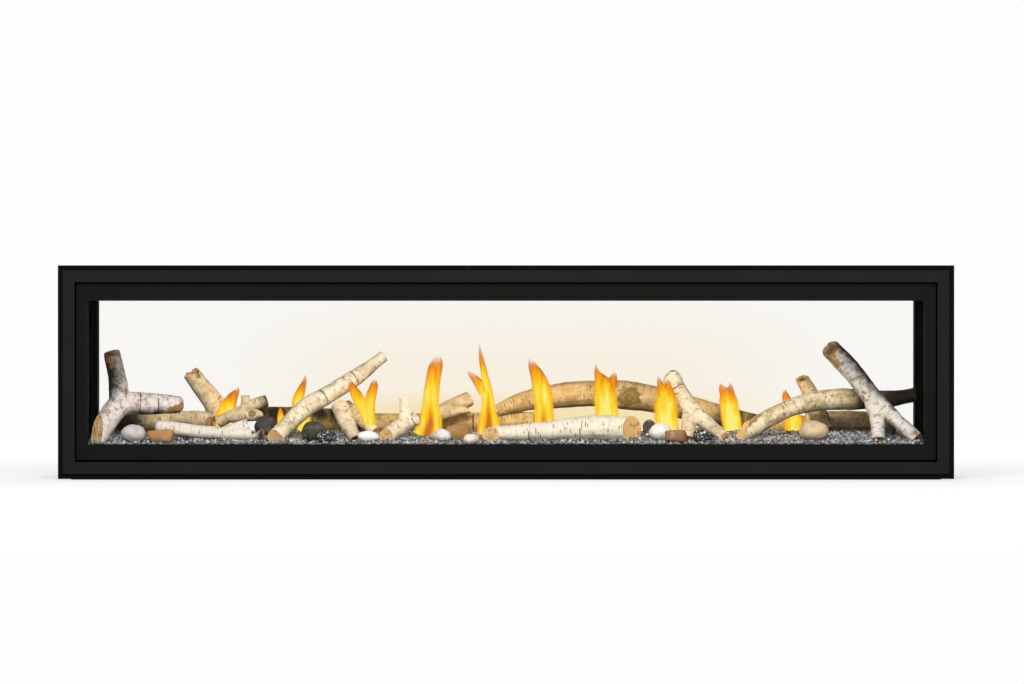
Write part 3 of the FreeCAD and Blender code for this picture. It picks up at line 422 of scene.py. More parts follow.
ALONG_X = (1.0, 20.0, 20.0)
ALONG_Z = (20.0, 20.0, 1.0)
paint(drawn_metal("zinc_plate", (0.66, 0.66, 0.68), (0.48, 0.48, 0.50), 0.28, ALONG_Z),
      "cabinet_screws", "front_glass_clips", "rear_glass_clips")
paint(drawn_metal("burner_stainless", (0.56, 0.54, 0.51), (0.36, 0.33, 0.29), 0.34, ALONG_X),
      "burner_tub", "burner_top", "venturi_tube", "air_shutter", "pilot_bracket", "gas_connector",
      "pilot_electrodes")
paint(drawn_metal("cast_aluminium", (0.72, 0.72, 0.73), (0.55, 0.55, 0.56), 0.38, ALONG_X),
      "manifold_tube", "pilot_tube", "gas_valve")
paint(drawn_metal("turned_brass", (0.80, 0.60, 0.28), (0.55, 0.38, 0.14), 0.26, ALONG_X),
      "orifice_fitting", "gas_inlet_fitting", "shutoff_body")

# %% [markdown]
# The small plastic and coated pieces: a dipped yellow lever, a moulded knob and control box, a polished
# switch, the woven gasket that seals the glass, and the sintered magnets of the door catches. One
# function serves all that are moulded, since only colour, gloss and the size of the grain differ.

# %% Plastics, gasket and magnets
WORN_GAIN = 1.35
WORN_LIFT = 0.004


def moulded(name, color, roughness, texture):
    finish = Finish(name)
    spot = finish.place()
    pebble = finish.grain(spot, texture, 2.0)
    worn = finish.grain(spot, 35.0, 4.0)
    lighter = tuple(min(1.0, WORN_GAIN * value + WORN_LIFT) for value in color)
    return finish.surface({
        "Base Color": finish.mix(color, lighter, finish.step(worn, 0.35, 0.80)),
        "Roughness": roughness + worn * 0.15,
        "Normal": finish.bump(pebble, 0.15, 0.0003),
    })


def woven_tape():
    finish = Finish("woven_glass_tape")
    rows = finish.node("TexWave", {"bands_direction": "DIAGONAL"},
                       {"Vector": finish.place(), "Scale": 160.0, "Distortion": 1.5, "Detail": 2.0}, "Fac")
    return finish.surface({
        "Base Color": finish.mix((0.020, 0.020, 0.021), (0.070, 0.068, 0.064), rows),
        "Roughness": 0.92,
        "Normal": finish.bump(rows, 0.5, 0.0006),
    })


paint(moulded("dipped_yellow", (0.72, 0.46, 0.03), 0.35, 300.0), "shutoff_lever")
paint(moulded("moulded_black", (0.022, 0.022, 0.024), 0.48, 900.0), "valve_knob", "control_module")
paint(moulded("polished_black", (0.030, 0.030, 0.030), 0.14, 500.0), "rocker_switch")
paint(moulded("sintered_magnet", (0.060, 0.060, 0.064), 0.55, 700.0), "door_magnets")
paint(woven_tape(), "front_glass_gasket", "rear_glass_gasket")

# %% [markdown]
# ## Door glass
# The panes are clear ceramic glass with a coating that keeps reflections down. A see-through shader is
# mixed with a mirror. The Fresnel node would treat the far face of a pane as the inside of a lens and
# turn it into a full mirror at a slant, so Layer Weight is used instead: its fifth power is a good
# stand-in for what glass reflects. A painted warm glow, emission that stands for the firelight and is
# no lamp, is put on the inner face of the far pane. It is strongest low down in the middle, where a
# second painted glow is added just above the bed. That face is the one whose normal points back at the
# fire, so the glow goes out when the door is tilted open and the pane no longer stands before the flames.

# %% Glass
COATING = 0.0008
SMEAR = 0.0012
GLOW = 0.20
GLOW_MIDDLE_X = 0.06
GLOW_SIDE = (0.85, 0.25)
GLOW_Z = 0.165
GLOW_REACH = (0.30, 0.05)
LOW_GLOW = 0.34
LOW_GLOW_SIDE = (0.65, 0.20)
LOW_GLOW_Z = (0.200, 0.138)
FACING_FIRE = (-0.60, -0.95)


def clear_pane(name):
    """See-through glass: the node that mixes it with its mirror, and the finish it belongs to."""
    finish = Finish(name)
    clear = finish.node("BsdfTransparent", {}, {"Color": (0.984, 0.984, 0.981)})
    mirror = finish.node("BsdfGlossy", {}, {"Color": (1.0, 1.0, 1.0), "Roughness": 0.02})
    slant = finish.node("LayerWeight", {}, {"Blend": 0.5}, "Facing")
    smear = finish.grain(finish.place((1.0, 1.0, 3.0)), 7.0, 4.0)
    shine = slant * slant * slant * slant * slant + COATING + smear * SMEAR
    return finish, finish.blend(shine, clear, mirror)


def glowing_pane(name):
    finish, pane = clear_pane(name)
    spot = finish.place()
    side = abs(finish.axis(spot, "X") - GLOW_MIDDLE_X)
    height = finish.axis(spot, "Z")
    # Painted light: the far pane glows warm as if lit by the fire, though it is no lamp.
    wide = finish.step(side, *GLOW_SIDE) * finish.step(abs(height - GLOW_Z), *GLOW_REACH) * GLOW
    low_glow = finish.step(side, *LOW_GLOW_SIDE) * finish.step(height, *LOW_GLOW_Z) * LOW_GLOW
    normal = finish.node("NewGeometry", {}, {}, "Normal")
    inner = finish.step(finish.axis(normal, "Y"), *FACING_FIRE)
    behind = finish.node("NewGeometry", {}, {}, "Backfacing")
    warm = finish.node("Emission", {}, {"Color": (0.93, 0.62, 0.09)})
    glow = (wide + low_glow) * inner * (1.0 - behind)
    return finish.end(finish.blend(glow, pane, warm))


coated_finish, coated_pane = clear_pane("coated_glass")
paint(coated_finish.end(coated_pane), "front_glass")
paint(glowing_pane("coated_glass_with_glow"), "rear_glass")

# %% [markdown]
# ## Birch logs
# The logs are ceramic castings of real birch. Each limb is a list of points with a thickness, as in the
# CAD model: along the opening, into the depth, above the media, radius, in millimetres. A bevelled
# curve turns such a list into a smooth branch, a voxel remesh melts the branches of one log together at
# its forks, and a saw cut at each end leaves a flat face of bare wood. Modelling each log by hand would
# give the same, but no two forks would match.

# %% Log limbs
LOGS = {
    "front_center": [[
        [(-35, -180, 12, 15), (97, -168, 18, 22), (184, -162, 22, 28), (276, -158, 19, 29)],
    ]],
    "long_leaning": [[
        [(-506, -195, 6, 18), (-493, -188, 19, 18), (-443, -160, 65, 20), (-392, -135, 92, 19),
         (-359, -118, 111, 19), (-330, -105, 127, 17), (-270, -80, 170, 12.5)],
    ]],
    "far_left_fork": [[
        [(-893, -195, 8, 22), (-874, -178, 43, 24), (-845, -155, 72, 25), (-782, -140, 73, 23),
         (-710, -132, 71, 18)],
        [(-848, -155, 75, 22), (-852, -145, 122, 20.5), (-866, -132, 184, 17.5)],
    ]],
    "left_fork": [[
        [(-872, 46, 14, 21), (-790, 38, 20, 22), (-717, 30, 31, 16.5), (-686, 20, 28, 20),
         (-647, 5, 21, 22)],
        [(-632, 8, 34, 22), (-640, 8, 52, 24.5), (-654, 8, 74, 23), (-671, 8, 96, 20.5),
         (-697, 8, 131, 18)],
    ]],
    "front_left": [[
        [(-768, -160, 27, 14), (-704, -165, 19, 14.5), (-638, -170, 13, 14.5), (-535, -172, 10, 13.5)],
        [(-618, -170, 14, 12), (-592, -168, 25, 12), (-566, -166, 34, 10)],
    ]],
    "small_fork": [[
        [(-263, -180, 6, 17), (-233, -168, 24, 18), (-198, -155, 44, 15.5)],
        [(-226, -166, 26, 17), (-218, -160, 58, 15.5), (-219, -156, 83, 15)],
    ]],
    "center_fork": [[
        [(358, -100, 132, 20), (383, -118, 98, 16), (409, -138, 61, 19), (446, -160, 29, 15),
         (485, -180, 1, 11.5)],
        [(407, -138, 64, 17), (401, -158, 33, 15.5), (398, -178, 1, 14.5)],
    ]],
    "far_right_fork": [[
        [(713, -120, 191, 21), (761, -135, 143, 21), (799, -150, 94, 22), (851, -168, 47, 16),
         (899, -185, 4, 14)],
        [(804, -155, 79, 19), (813, -170, 42, 16), (815, -185, 2, 15)],
    ]],
    "right_curve": [[
        [(506, -182, 4, 19), (540, -170, 24, 20), (584, -155, 48, 19), (647, -130, 70, 20),
         (714, -100, 77, 22.5), (786, -70, 74, 22), (849, -50, 74, 18), (900, -35, 83, 15)],
    ]],
    "right_post": [[
        [(655, 20, 119, 14), (678, 5, 75, 18), (702, -15, 4, 21)],
    ]],
    "rear_right": [[
        [(664, 50, 21, 23), (787, 50, 22, 23.5), (862, 45, 12, 17)],
    ]],
    "rear_row": [
        [[(-552, 85, 27, 31), (-366, 90, 24, 29)]],
        [[(-359, 100, 21, 22), (-192, 98, 21, 22), (62, 76, 24, 21)]],
        [[(460, 120, 20, 21), (694, 125, 20, 21)]],
    ],
    "rear_arch": [[
        [(-20, 70, 46, 14), (31, 70, 64, 21), (98, 70, 77, 26), (187, 70, 85, 29), (276, 70, 80, 30),
         (343, 70, 68, 29), (418, 70, 50, 26), (487, 70, 34, 22), (565, 70, 16, 19)],
    ]],
    "props": [
        [[(-330, -185, 2, 12.5), (-348, -155, 33, 17), (-367, -122, 66, 19)]],
        [[(-289, -95, 5, 12), (-318, -75, 30, 14.5), (-354, -45, 58, 15)]],
    ],
    "short_sticks": [
        [[(-636, -40, 22, 13), (-590, -48, 45, 11.5), (-555, -52, 63, 12), (-528, -55, 71, 12)],
         [(-576, -50, 54, 9), (-575, -50, 82, 8.5)],
         [(-606, -46, 32, 11), (-570, -50, 38, 13), (-538, -55, 36, 11)]],
        [[(-191, 15, 10, 16), (-135, 35, 47, 18), (-82, 60, 73, 16)],
         [(-140, 30, 42, 15), (-112, 36, 46, 11), (-80, 42, 47, 4)]],
    ],
}

# %% [markdown]
# A saw cut square to the branch is the plain case. Where a cut leans, the table gives the direction
# that its face looks in, how ragged it is, and how far past the end of the limb it lies, in
# millimetres; a limb may also end round, or run into another limb with no cut. A mark is a place on the
# bark with a radius, in millimetres from the floor up: bare wood where the bark is torn, painted shade
# with a little soot where a log lies in shade, or a knot. A crack is part of a ring round a limb, as far
# as it reaches from a place on it. The last table says how old each log looks, from about 0 for young
# white bark to 1 for gold, the gold at the back being partly painted warm firelight, and how dirty.

# %% Cuts and marks
SQUARE = (0.0, 0.0, 0.0, 0.6, 0.0)
ROUND = "round"
CUTS = {
    "front_center": [((-0.60, -0.80, -0.03, 0.6, 0.0), (0.82, -0.57, 0.0, 0.6, 0.0))],
    "long_leaning": [((-0.53, -0.74, -0.41, 0.6, 0.0), SQUARE)],
    "far_left_fork": [((-0.80, -0.58, 0.15, 1.5, 9.0), ROUND), (None, (-0.20, -0.30, 0.93, 1.5, 0.0))],
    "left_fork": [(SQUARE, None), (None, (-0.50, -0.20, 0.84, 5.0, 0.0))],
    "front_left": [(ROUND, (0.94, -0.33, 0.05, 1.5, 0.0)), (None, SQUARE)],
    "small_fork": [((-0.58, -0.77, -0.28, 0.6, 0.0), (0.80, -0.30, 0.50, 1.0, 0.0)),
                   (None, (0.10, -0.15, 0.98, 4.0, 2.0))],
    "center_fork": [(ROUND, (0.70, -0.60, -0.20, 1.0, 0.0)), (None, SQUARE)],
    "far_right_fork": [((-0.60, -0.45, 0.66, 3.0, 0.0), SQUARE), (None, SQUARE)],
    "right_curve": [((-0.80, -0.38, 0.46, 2.0, -10.0), SQUARE)],
    "right_post": [((-0.30, -0.30, 0.90, 4.0, 0.0), SQUARE)],
    "short_sticks": [(SQUARE, SQUARE), (None, SQUARE), (None, ROUND)],
}
BARE = {
    "far_left_fork": [(-873, -150, 276, 14), (-869, -150, 262, 13), (-864, -152, 246, 9),
                      (-735, -148, 151, 12), (-722, -150, 153, 14), (-710, -148, 160, 12)],
    "left_fork": [(-686, -6, 236, 12), (-680, -10, 224, 8), (-648, -18, 118, 25)],
    "far_right_fork": [(709, -138, 268, 23), (720, -146, 252, 17), (728, -152, 240, 10)],
    "right_curve": [(512, -190, 108, 19), (526, -186, 122, 17), (540, -182, 134, 15), (553, -176, 145, 12)],
    "short_sticks": [(-560, -66, 142, 12), (-545, -66, 128, 12)],
    "center_fork": [(480, -186, 92, 12)],
}
# Painted shade where the logs lie in shade, on their dark sides and ends, with soot in a few places.
SHADE_AND_SOOT = {
    "far_left_fork": [(-892, -150, 274, 76), (-888, -150, 252, 82), (-884, -152, 228, 80),
                      (-880, -154, 208, 66), (-876, -158, 190, 42), (-800, -150, 134, 30),
                      (-765, -146, 136, 30), (-730, -146, 138, 26)],
    "left_fork": [(-850, 28, 112, 95)],
    "rear_row": [(-552, 56, 150, 62), (-510, 56, 146, 58), (-462, 58, 152, 56), (-415, 60, 146, 50),
                 (-372, 62, 148, 56), (-330, 80, 118, 46)],
    "right_curve": [(880, -52, 168, 150), (925, -36, 176, 130), (800, -70, 160, 66)],
    "right_post": [(652, 12, 224, 24), (694, -8, 120, 40)],
    "rear_right": [(724, -6, 122, 60), (700, 0, 110, 40)],
    "far_right_fork": [(704, -128, 294, 46), (746, -124, 288, 52), (768, -128, 266, 62),
                       (788, -134, 244, 64), (808, -140, 222, 62), (828, -148, 200, 54),
                       (862, -160, 170, 40)],
    "center_fork": [(363, -112, 244, 11), (488, -186, 88, 14)],
    "rear_arch": [(500, 62, 130, 60), (560, 62, 116, 60)],
    "short_sticks": [(-526, -55, 168, 26)],
    "props": [(-332, -186, 88, 16)],
    "front_center": [(-46, -196, 84, 30)],
    "front_left": [(-531, -178, 92, 32)],
}
KNOTS = {
    "rear_arch": [(274, 40, 174, 36), (352, 42, 172, 9)],
    "far_left_fork": [(-868, -168, 186, 8)],
    "long_leaning": [(-400, -152, 176, 7)],
    "center_fork": [(368, -116, 238, 9)],
}
CRACKS = {
    "front_center": [(50, -188, 90, 17), (162, -188, 92, 20)],
    "long_leaning": [(-398, -158, 184, 24), (-333, -124, 226, 22)],
    "far_left_fork": [(-802, -166, 163, 30), (-762, -160, 156, 22)],
    "small_fork": [(-205, -172, 128, 14)],
    "center_fork": [(378, -132, 204, 14)],
    "rear_row": [(-74, 66, 122, 22)],
}
# Bark colour, whose gold is partly painted warm firelight, and dirt, for each log.
TONES = {
    "front_center": (0.26, 0.20), "long_leaning": (0.46, 0.75), "far_left_fork": (-0.04, 1.20),
    "left_fork": (0.64, 0.50), "front_left": (0.16, 0.20), "small_fork": (0.42, 0.25),
    "center_fork": (0.48, 0.55), "far_right_fork": (0.06, 1.40), "right_curve": (0.58, 1.20),
    "right_post": (0.74, 1.30), "rear_right": (0.72, 0.80), "rear_row": (0.92, 0.75),
    "rear_arch": (0.86, 0.60), "props": (0.54, 0.55), "short_sticks": (0.60, 0.70),
}
print(sum(len(pieces) for pieces in LOGS.values()), "log castings in", len(LOGS), "nodes")

# %% [markdown]
# The logs stand on the media, which is heaped along the middle and falls away evenly to the front and
# the back. Small heaps make it uneven; a ray dropped on the CAD bed finds its true height anywhere.

# %% Bed height
BED_CROWN = 99 * MM
BED_RISE = 20 * MM
BED_FLAT_HALF = 70 * MM
bed_low, bed_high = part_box("media_bed")
bed = nodes["media_bed"]


def bed_height(y):
    """The even height that the logs and stones are set out from."""
    slope = (bed_high.y - abs(y)) / (bed_high.y - BED_FLAT_HALF)
    return BED_CROWN - BED_RISE + BED_RISE * min(1.0, slope)


def bed_top(x, y):
    """The height of the uneven bed itself, or 0 over the pocket that it leaves for the pilot."""
    _, spot, _, _ = bed.ray_cast((x, y, 1.0), (0.0, 0.0, -1.0))
    return spot.z


def limb_axis(limb):
    """Places and radii of a limb's points in metres."""
    axis = []
    for x, y, height, radius in limb:
        axis.append((Vector((x * MM, y * MM, bed_height(y * MM) + height * MM)), radius * MM))
    return axis


print("bed from", round(bed_low.z, 4), "to", round(bed_high.z, 4))

# %% [markdown]
# A curve with a bevel is the shortest way to a branch: automatic handles carry it smoothly through its
# points, and the radius at each point swells or thins it. The same curve without a bevel gives the
# centreline, which later tells every point of the bark how far along the branch it lies and on which
# side.

# %% Branch curves
STEPS = 10
SECTION_STEPS = 5
SAW_RUN_ON = 1.6
ROUND_BACK = 0.40
ROUND_TIP = 0.05
ROUND_SHARE = 0.62
EASE = 0.5


def mesh_of(obj):
    """The finished mesh of a temporary object, modifiers and all."""
    link(obj)
    graph = bpy.context.evaluated_depsgraph_get()
    made = bpy.data.meshes.new_from_object(obj.evaluated_get(graph))
    bpy.data.objects.remove(obj)
    return made


def branch_curve(axes, thick):
    curve = bpy.data.curves.new("branch", "CURVE")
    curve.dimensions = "3D"
    curve.resolution_u = STEPS
    curve.bevel_depth = 1.0 if thick else 0.0
    curve.bevel_resolution = SECTION_STEPS
    curve.use_fill_caps = thick
    for axis in axes:
        spline = curve.splines.new("BEZIER")
        spline.radius_interpolation = "CARDINAL"
        spline.bezier_points.add(len(axis) - 1)
        for knot, (place, radius) in zip(spline.bezier_points, axis):
            knot.co = place
            knot.radius = radius
            knot.handle_left_type = "AUTO"
            knot.handle_right_type = "AUTO"
    return bpy.data.objects.new("branch", curve)


def ended(last, before, cut):
    """What stands in for a limb's last point: a stub for the saw to take off, or a rounded tip."""
    place, radius = last
    along = (place - before[0]).normalized() * radius
    if cut is None:
        return [last]
    if cut == ROUND:
        return [(place - along * ROUND_BACK, radius), (place + along * ROUND_TIP, radius * ROUND_SHARE)]
    return [last, (place + along * SAW_RUN_ON, radius)]


def lengthened(axis, start, end):
    return ended(axis[0], axis[1], start)[::-1] + axis[1:-1] + ended(axis[-1], axis[-2], end)


def melted(mesh, voxel, rounds):
    """One closed skin round everything in the mesh."""
    obj = bpy.data.objects.new("skin", mesh)
    merge = obj.modifiers.new("merge", "REMESH")
    merge.mode = "VOXEL"
    merge.voxel_size = voxel
    ease = obj.modifiers.new("ease", "SMOOTH")
    ease.factor = EASE
    ease.iterations = rounds
    return mesh_of(obj)


print(sum(len(limbs) for pieces in LOGS.values() for limbs in pieces), "limbs to grow")

# %% [markdown]
# Cast bark is lumpy. Two sizes of noise push the skin in and out along its normals, a little swelling
# gives back what the smoothing took, and a knot raises a low boss. A Displace modifier could push the
# skin too, but it knows nothing of the knots.

# %% Lumps
SWELL = 0.8 * MM
LUMP = 2.0 * MM
LUMPS_PER_M = 17.0
RIPPLE = 0.7 * MM
RIPPLES_PER_M = 70.0
KNOT_RISE = 2.5 * MM
KNOT_REACH = 1.6


def roughen(bm, knots):
    bm.normal_update()
    pushes = []
    for vert in bm.verts:
        push = SWELL + LUMP * noise.noise(vert.co * LUMPS_PER_M)
        push += RIPPLE * noise.noise(vert.co * RIPPLES_PER_M)
        for x, y, z, radius in knots:
            share = (vert.co - Vector((x, y, z)) * MM).length / (KNOT_REACH * radius * MM)
            push += KNOT_RISE * max(0.0, 1.0 - share * share)
        pushes.append(push)
    for vert, push in zip(bm.verts, pushes):
        vert.co += vert.normal * push


print("bark lumps up to", round((LUMP + RIPPLE) / MM, 1), "mm high")

# %% [markdown]
# The saw takes the ends off: bisect cuts the faces near an end with a plane, the edge of the hole is
# filled, and two smaller rings inside it make the end grain stand back from the bark, as it does on
# dried wood. Noise on the rim and the rings turns a saw cut into a break. A foot that would come out
# under the media is cut level inside it. A Boolean would cut as well, but it gives back no rim to work
# on.

# %% Saw cuts
SPLINTERS_PER_M = 130.0
SAW_REACH = 3.2
CUT_TOLERANCE = 1e-6
END_RINGS = ((0.90, 0.4 * MM), (0.62, 0.5 * MM))
FOOT_Z = bed_low.z + 3 * MM


def splinter(verts, outward, ragged):
    for vert in verts:
        vert.co += outward * ragged * noise.noise(vert.co * SPLINTERS_PER_M)


def cut_off(bm, geom, place, outward):
    """Takes off what lies outward of a plane, and gives the edges of the hole that this leaves."""
    cut = bmesh.ops.bisect_plane(bm, geom=geom, dist=CUT_TOLERANCE, plane_co=place, plane_no=outward,
                                 clear_outer=True)
    return [edge for edge in cut["geom_cut"] if isinstance(edge, bmesh.types.BMEdge)]


def saw(bm, place, radius, outward, ragged):
    near = {vert for vert in bm.verts if (vert.co - place).length < SAW_REACH * radius}
    faces = [face for face in bm.faces if all(vert in near for vert in face.verts)]
    edges = dict.fromkeys(edge for face in faces for edge in face.edges)
    verts = dict.fromkeys(vert for face in faces for vert in face.verts)
    rim = cut_off(bm, faces + list(edges) + list(verts), place, outward)
    splinter({vert for edge in rim for vert in edge.verts}, outward, ragged)
    ends = bmesh.ops.edgeloop_fill(bm, edges=rim, mat_nr=1)["faces"]
    for share, dish in END_RINGS:
        ends = bmesh.ops.extrude_discrete_faces(bm, faces=ends)["faces"]
        for face in ends:
            middle = face.calc_center_median()
            for vert in face.verts:
                vert.co = middle + (vert.co - middle) * share - outward * dish
            splinter(face.verts, outward, ragged)
    bmesh.ops.poke(bm, faces=ends)


def level_foot(bm):
    """Cuts a foot level where it would reach through the media into the firebox floor."""
    if min(vert.co.z for vert in bm.verts) > FOOT_Z:
        return
    rim = cut_off(bm, bm.verts[:] + bm.edges[:] + bm.faces[:], (0.0, 0.0, FOOT_Z), (0.0, 0.0, -1.0))
    bmesh.ops.edgeloop_fill(bm, edges=rim, mat_nr=1)


def end_cuts(name, index, limbs):
    """Start and end cut of each limb: a trunk is sawn at both ends, a branch only at its tip."""
    if index == 0 and name in CUTS:
        return CUTS[name]
    return [(SQUARE, SQUARE)] + [(None, SQUARE)] * (len(limbs) - 1)


def saw_end(bm, last, before, cut):
    if cut is None or cut == ROUND:
        return
    x, y, z, ragged, past = cut
    place, radius = last
    along = (place - before[0]).normalized()
    facing = Vector((x, y, z))
    outward = facing.normalized() if facing.length else along
    saw(bm, place + along * past * MM, radius, outward, ragged * MM)


print("feet are cut level at", round(FOOT_Z, 4), "m")

# %% [markdown]
# Bark patterns run round a branch, so the finish needs to know where it is on the branch. Each vertex
# is given "bark": how far along its limb it lies, and its two distances from the centreline. Plain
# numbers go with it: how much of a mark lies there, and how far along the limb the nearest ring crack
# is. A UV map would do for a plain branch, but it has no good place for its seam in a fork.

# %% Centrelines
def centreline(axis):
    points = np.array([vert.co for vert in mesh_of(branch_curve([axis], False)).vertices])
    radii = np.interp(np.arange(len(points)), np.arange(len(axis)) * STEPS, [radius for _, radius in axis])
    runs = np.linalg.norm(np.diff(points, axis=0), axis=1)
    lengths = np.concatenate([[0.0], np.cumsum(runs)])
    along = np.gradient(points, axis=0)
    along /= np.linalg.norm(along, axis=1)[:, None]
    across = np.cross(along, (0.0, 1.0, 0.0))
    across /= np.linalg.norm(across, axis=1)[:, None]
    return {"points": points, "radii": radii, "lengths": lengths, "along": along, "across": across,
            "third": np.cross(along, across)}


def nearest(places, lines):
    """For each place, which limb and which step of it is nearest, counted in limb radii."""
    best = np.full(len(places), np.inf)
    limb_of = np.zeros(len(places), int)
    step_of = np.zeros(len(places), int)
    for k, line in enumerate(lines):
        gaps = np.linalg.norm(places[:, None, :] - line["points"][None], axis=2) / line["radii"][None]
        steps = gaps.argmin(axis=1)
        least = gaps[np.arange(len(places)), steps]
        closer = least < best
        best[closer] = least[closer]
        limb_of[closer] = k
        step_of[closer] = steps[closer]
    return limb_of, step_of

# %% Bark coordinates
FAR = 1.0


def bark_coordinates(places, lines):
    limb_of, step_of = nearest(places, lines)
    bark = np.zeros((len(places), 3))
    for k, line in enumerate(lines):
        mine = limb_of == k
        steps = step_of[mine]
        offset = places[mine] - line["points"][steps]
        bark[mine, 0] = line["lengths"][steps] + (offset * line["along"][steps]).sum(axis=1)
        bark[mine, 1] = (offset * line["across"][steps]).sum(axis=1)
        bark[mine, 2] = (offset * line["third"][steps]).sum(axis=1)
    return bark, limb_of


def spot_share(places, marks):
    """1 at the middle of a mark, 0 at its edge and beyond."""
    share = np.zeros(len(places))
    for x, y, z, radius in marks:
        gaps = np.linalg.norm(places - np.array((x, y, z)) * MM, axis=1)
        share = np.maximum(share, 1.0 - gaps / (radius * MM))
    return np.clip(share, 0.0, 1.0)


def crack_gap(places, bark, limb_of, cracks, lines):
    gap = np.full(len(places), FAR)
    for x, y, z, reach in cracks:
        here = np.array([(x, y, z)]) * MM
        there, limb = bark_coordinates(here, lines)
        step = bark[:, 0] - there[0, 0]
        close = np.linalg.norm(places - here, axis=1) < reach * MM
        closer = (np.abs(step) < np.abs(gap)) & (limb_of == limb[0]) & close
        gap[closer] = step[closer]
    return gap


def set_values(mesh, name, kind, values):
    attribute = mesh.attributes.new(name, kind, "POINT")
    field = "vector" if kind == "FLOAT_VECTOR" else "value"
    attribute.data.foreach_set(field, np.asarray(values, np.float32).ravel())


marks_in_all = sum(len(marks) for table in (BARE, SHADE_AND_SOOT, KNOTS, CRACKS) for marks in table.values())
print(marks_in_all, "marks on the bark")

# %% [markdown]
# ## Birch bark
# Young birch is cream to white with thin dark dashes, the lenticels, that run round the trunk. A
# Voronoi pattern whose cells are squeezed along the branch and stretched round it gives such dashes:
# only its cell centres are kept. Finer dots, papery bands and olive and brown dirt come on top, the
# underside is darkened to olive brown with painted shade, painted shade with a little soot blackens the
# marked places, and the marks are torn at the edge with noise. The older logs at the back are tan to
# gold, partly their own colour and partly painted warm firelight.

# %% Bark finish
# The warm cream and gold of the bark are partly its own colour and partly painted warm firelight.
BARK_STOPS = [
    (0.00, (0.69, 0.625, 0.595)), (0.34, (0.87, 0.780, 0.590)), (0.68, (0.76, 0.555, 0.300)),
    (1.00, (0.72, 0.455, 0.130)),
]


def birch_bark():
    finish = Finish("birch_bark")
    spot = finish.place()
    bark = finish.own("bark", "Vector")
    names = ("tone", "grime", "bare", "scorch", "crack", "knot", "under")
    mark = {name: finish.own(name) for name in names}

    def stretched(along, around):
        return finish.node("Mapping", {}, {"Vector": bark, "Scale": (1 / along, 1 / around, 1 / around)})

    def dashes(along, around, output):
        return finish.node("TexVoronoi", {}, {"Vector": stretched(along, around), "Scale": 1.0}, output)

    blotch = finish.grain(spot, 24.0, 4.0, 0.6)
    stain = finish.grain(spot, 75.0, 5.0, 0.65)
    edge = finish.grain(spot, 260.0, 3.0)
    papery = finish.grain(stretched(0.006, 0.12), 1.0, 4.0, 0.7)
    color = finish.node("ValToRGB", {"stops": BARK_STOPS}, {0: mark["tone"] + (blotch - 0.5) * 0.45})
    color = finish.mix(color, (0.92, 0.865, 0.78), finish.step(stain, 0.46, 0.32) * 0.35)
    algae = finish.step(blotch, 0.47, 0.62) * finish.step(mark["tone"], -0.10, 0.50)
    color = finish.mix(color, (0.46, 0.38, 0.19), algae * mark["grime"] * 0.50)
    color = finish.mix(color, (0.33, 0.23, 0.125), finish.step(stain, 0.48, 0.64) * mark["grime"] * 0.62)
    color = finish.mix(color, (0.34, 0.26, 0.175), finish.step(papery, 0.54, 0.70) * 0.48)
    # Painted shade: the more a place faces down, the darker and more olive brown it is.
    underside_shade = finish.step(mark["under"] + (blotch - 0.5) * 0.8, 0.0, 1.0)
    color = finish.mix(color, (0.15, 0.115, 0.060), underside_shade * 0.72)

    chosen = finish.step(finish.axis(dashes(0.0050, 0.026, "Color"), "X"), 0.34, 0.42)
    dash = finish.step(dashes(0.0050, 0.026, "Distance") + edge * 0.10, 0.32, 0.22) * chosen
    dot = finish.step(dashes(0.0034, 0.0065, "Distance") + edge * 0.10, 0.32, 0.22)
    dot = dot * finish.step(blotch, 0.44, 0.56)
    color = finish.mix(color, (0.085, 0.058, 0.040), dash * 0.80)
    color = finish.mix(color, (0.130, 0.090, 0.060), dot * 0.70)

    ring = finish.node("Math", {"operation": "FRACT"}, {0: mark["knot"] * 2.5 + stain * 3.0 + blotch * 3.0})
    eye = finish.mix((0.13, 0.080, 0.028), (0.34, 0.220, 0.075), ring)
    color = finish.mix(color, eye, finish.step(mark["knot"] + (stain - 0.5) * 1.6, 0.14, 0.42) * 0.9)
    crack = finish.step(abs(mark["crack"] + (edge - 0.5) * 0.006), 0.0019, 0.0007)
    crack = crack * finish.step(finish.grain(spot, 34.0, 2.0), 0.36, 0.46)
    color = finish.mix(color, (0.16, 0.045, 0.022), crack)

    torn = finish.step(mark["bare"] + (edge - 0.5) * 0.5, 0.16, 0.30)
    fibre = finish.grain(stretched(0.12, 0.0035), 1.0, 4.0, 0.7)
    wood = finish.mix((0.15, 0.075, 0.030), (0.50, 0.30, 0.130), finish.step(fibre, 0.36, 0.62))
    color = finish.mix(color, wood, torn)
    # Painted shade, with a little soot: the marked places go nearly black.
    shaded_and_burnt = finish.step(mark["scorch"] + (stain - 0.5) * 0.4, 0.05, 0.75)
    color = finish.mix(color, (0.014, 0.011, 0.007), shaded_and_burnt * (0.985 - torn * 0.45))
    relief = papery * 0.5 + edge * 0.25 + fibre * torn - dash * 0.7 - crack * 1.6
    return finish.surface({
        "Base Color": color,
        "Roughness": 0.66 + edge * 0.18,
        "Specular IOR Level": 0.28,
        "Normal": finish.bump(relief, 0.35, 0.0015),
    })


bark_finish = birch_bark()
print("birch bark of", len(bark_finish.node_tree.nodes), "nodes")

# %% [markdown]
# Where a limb is sawn, its wood shows: rings round the centreline, brown checks and torn fibres. The
# distance from the centreline is already there in "bark", so the rings need no texture of their own.

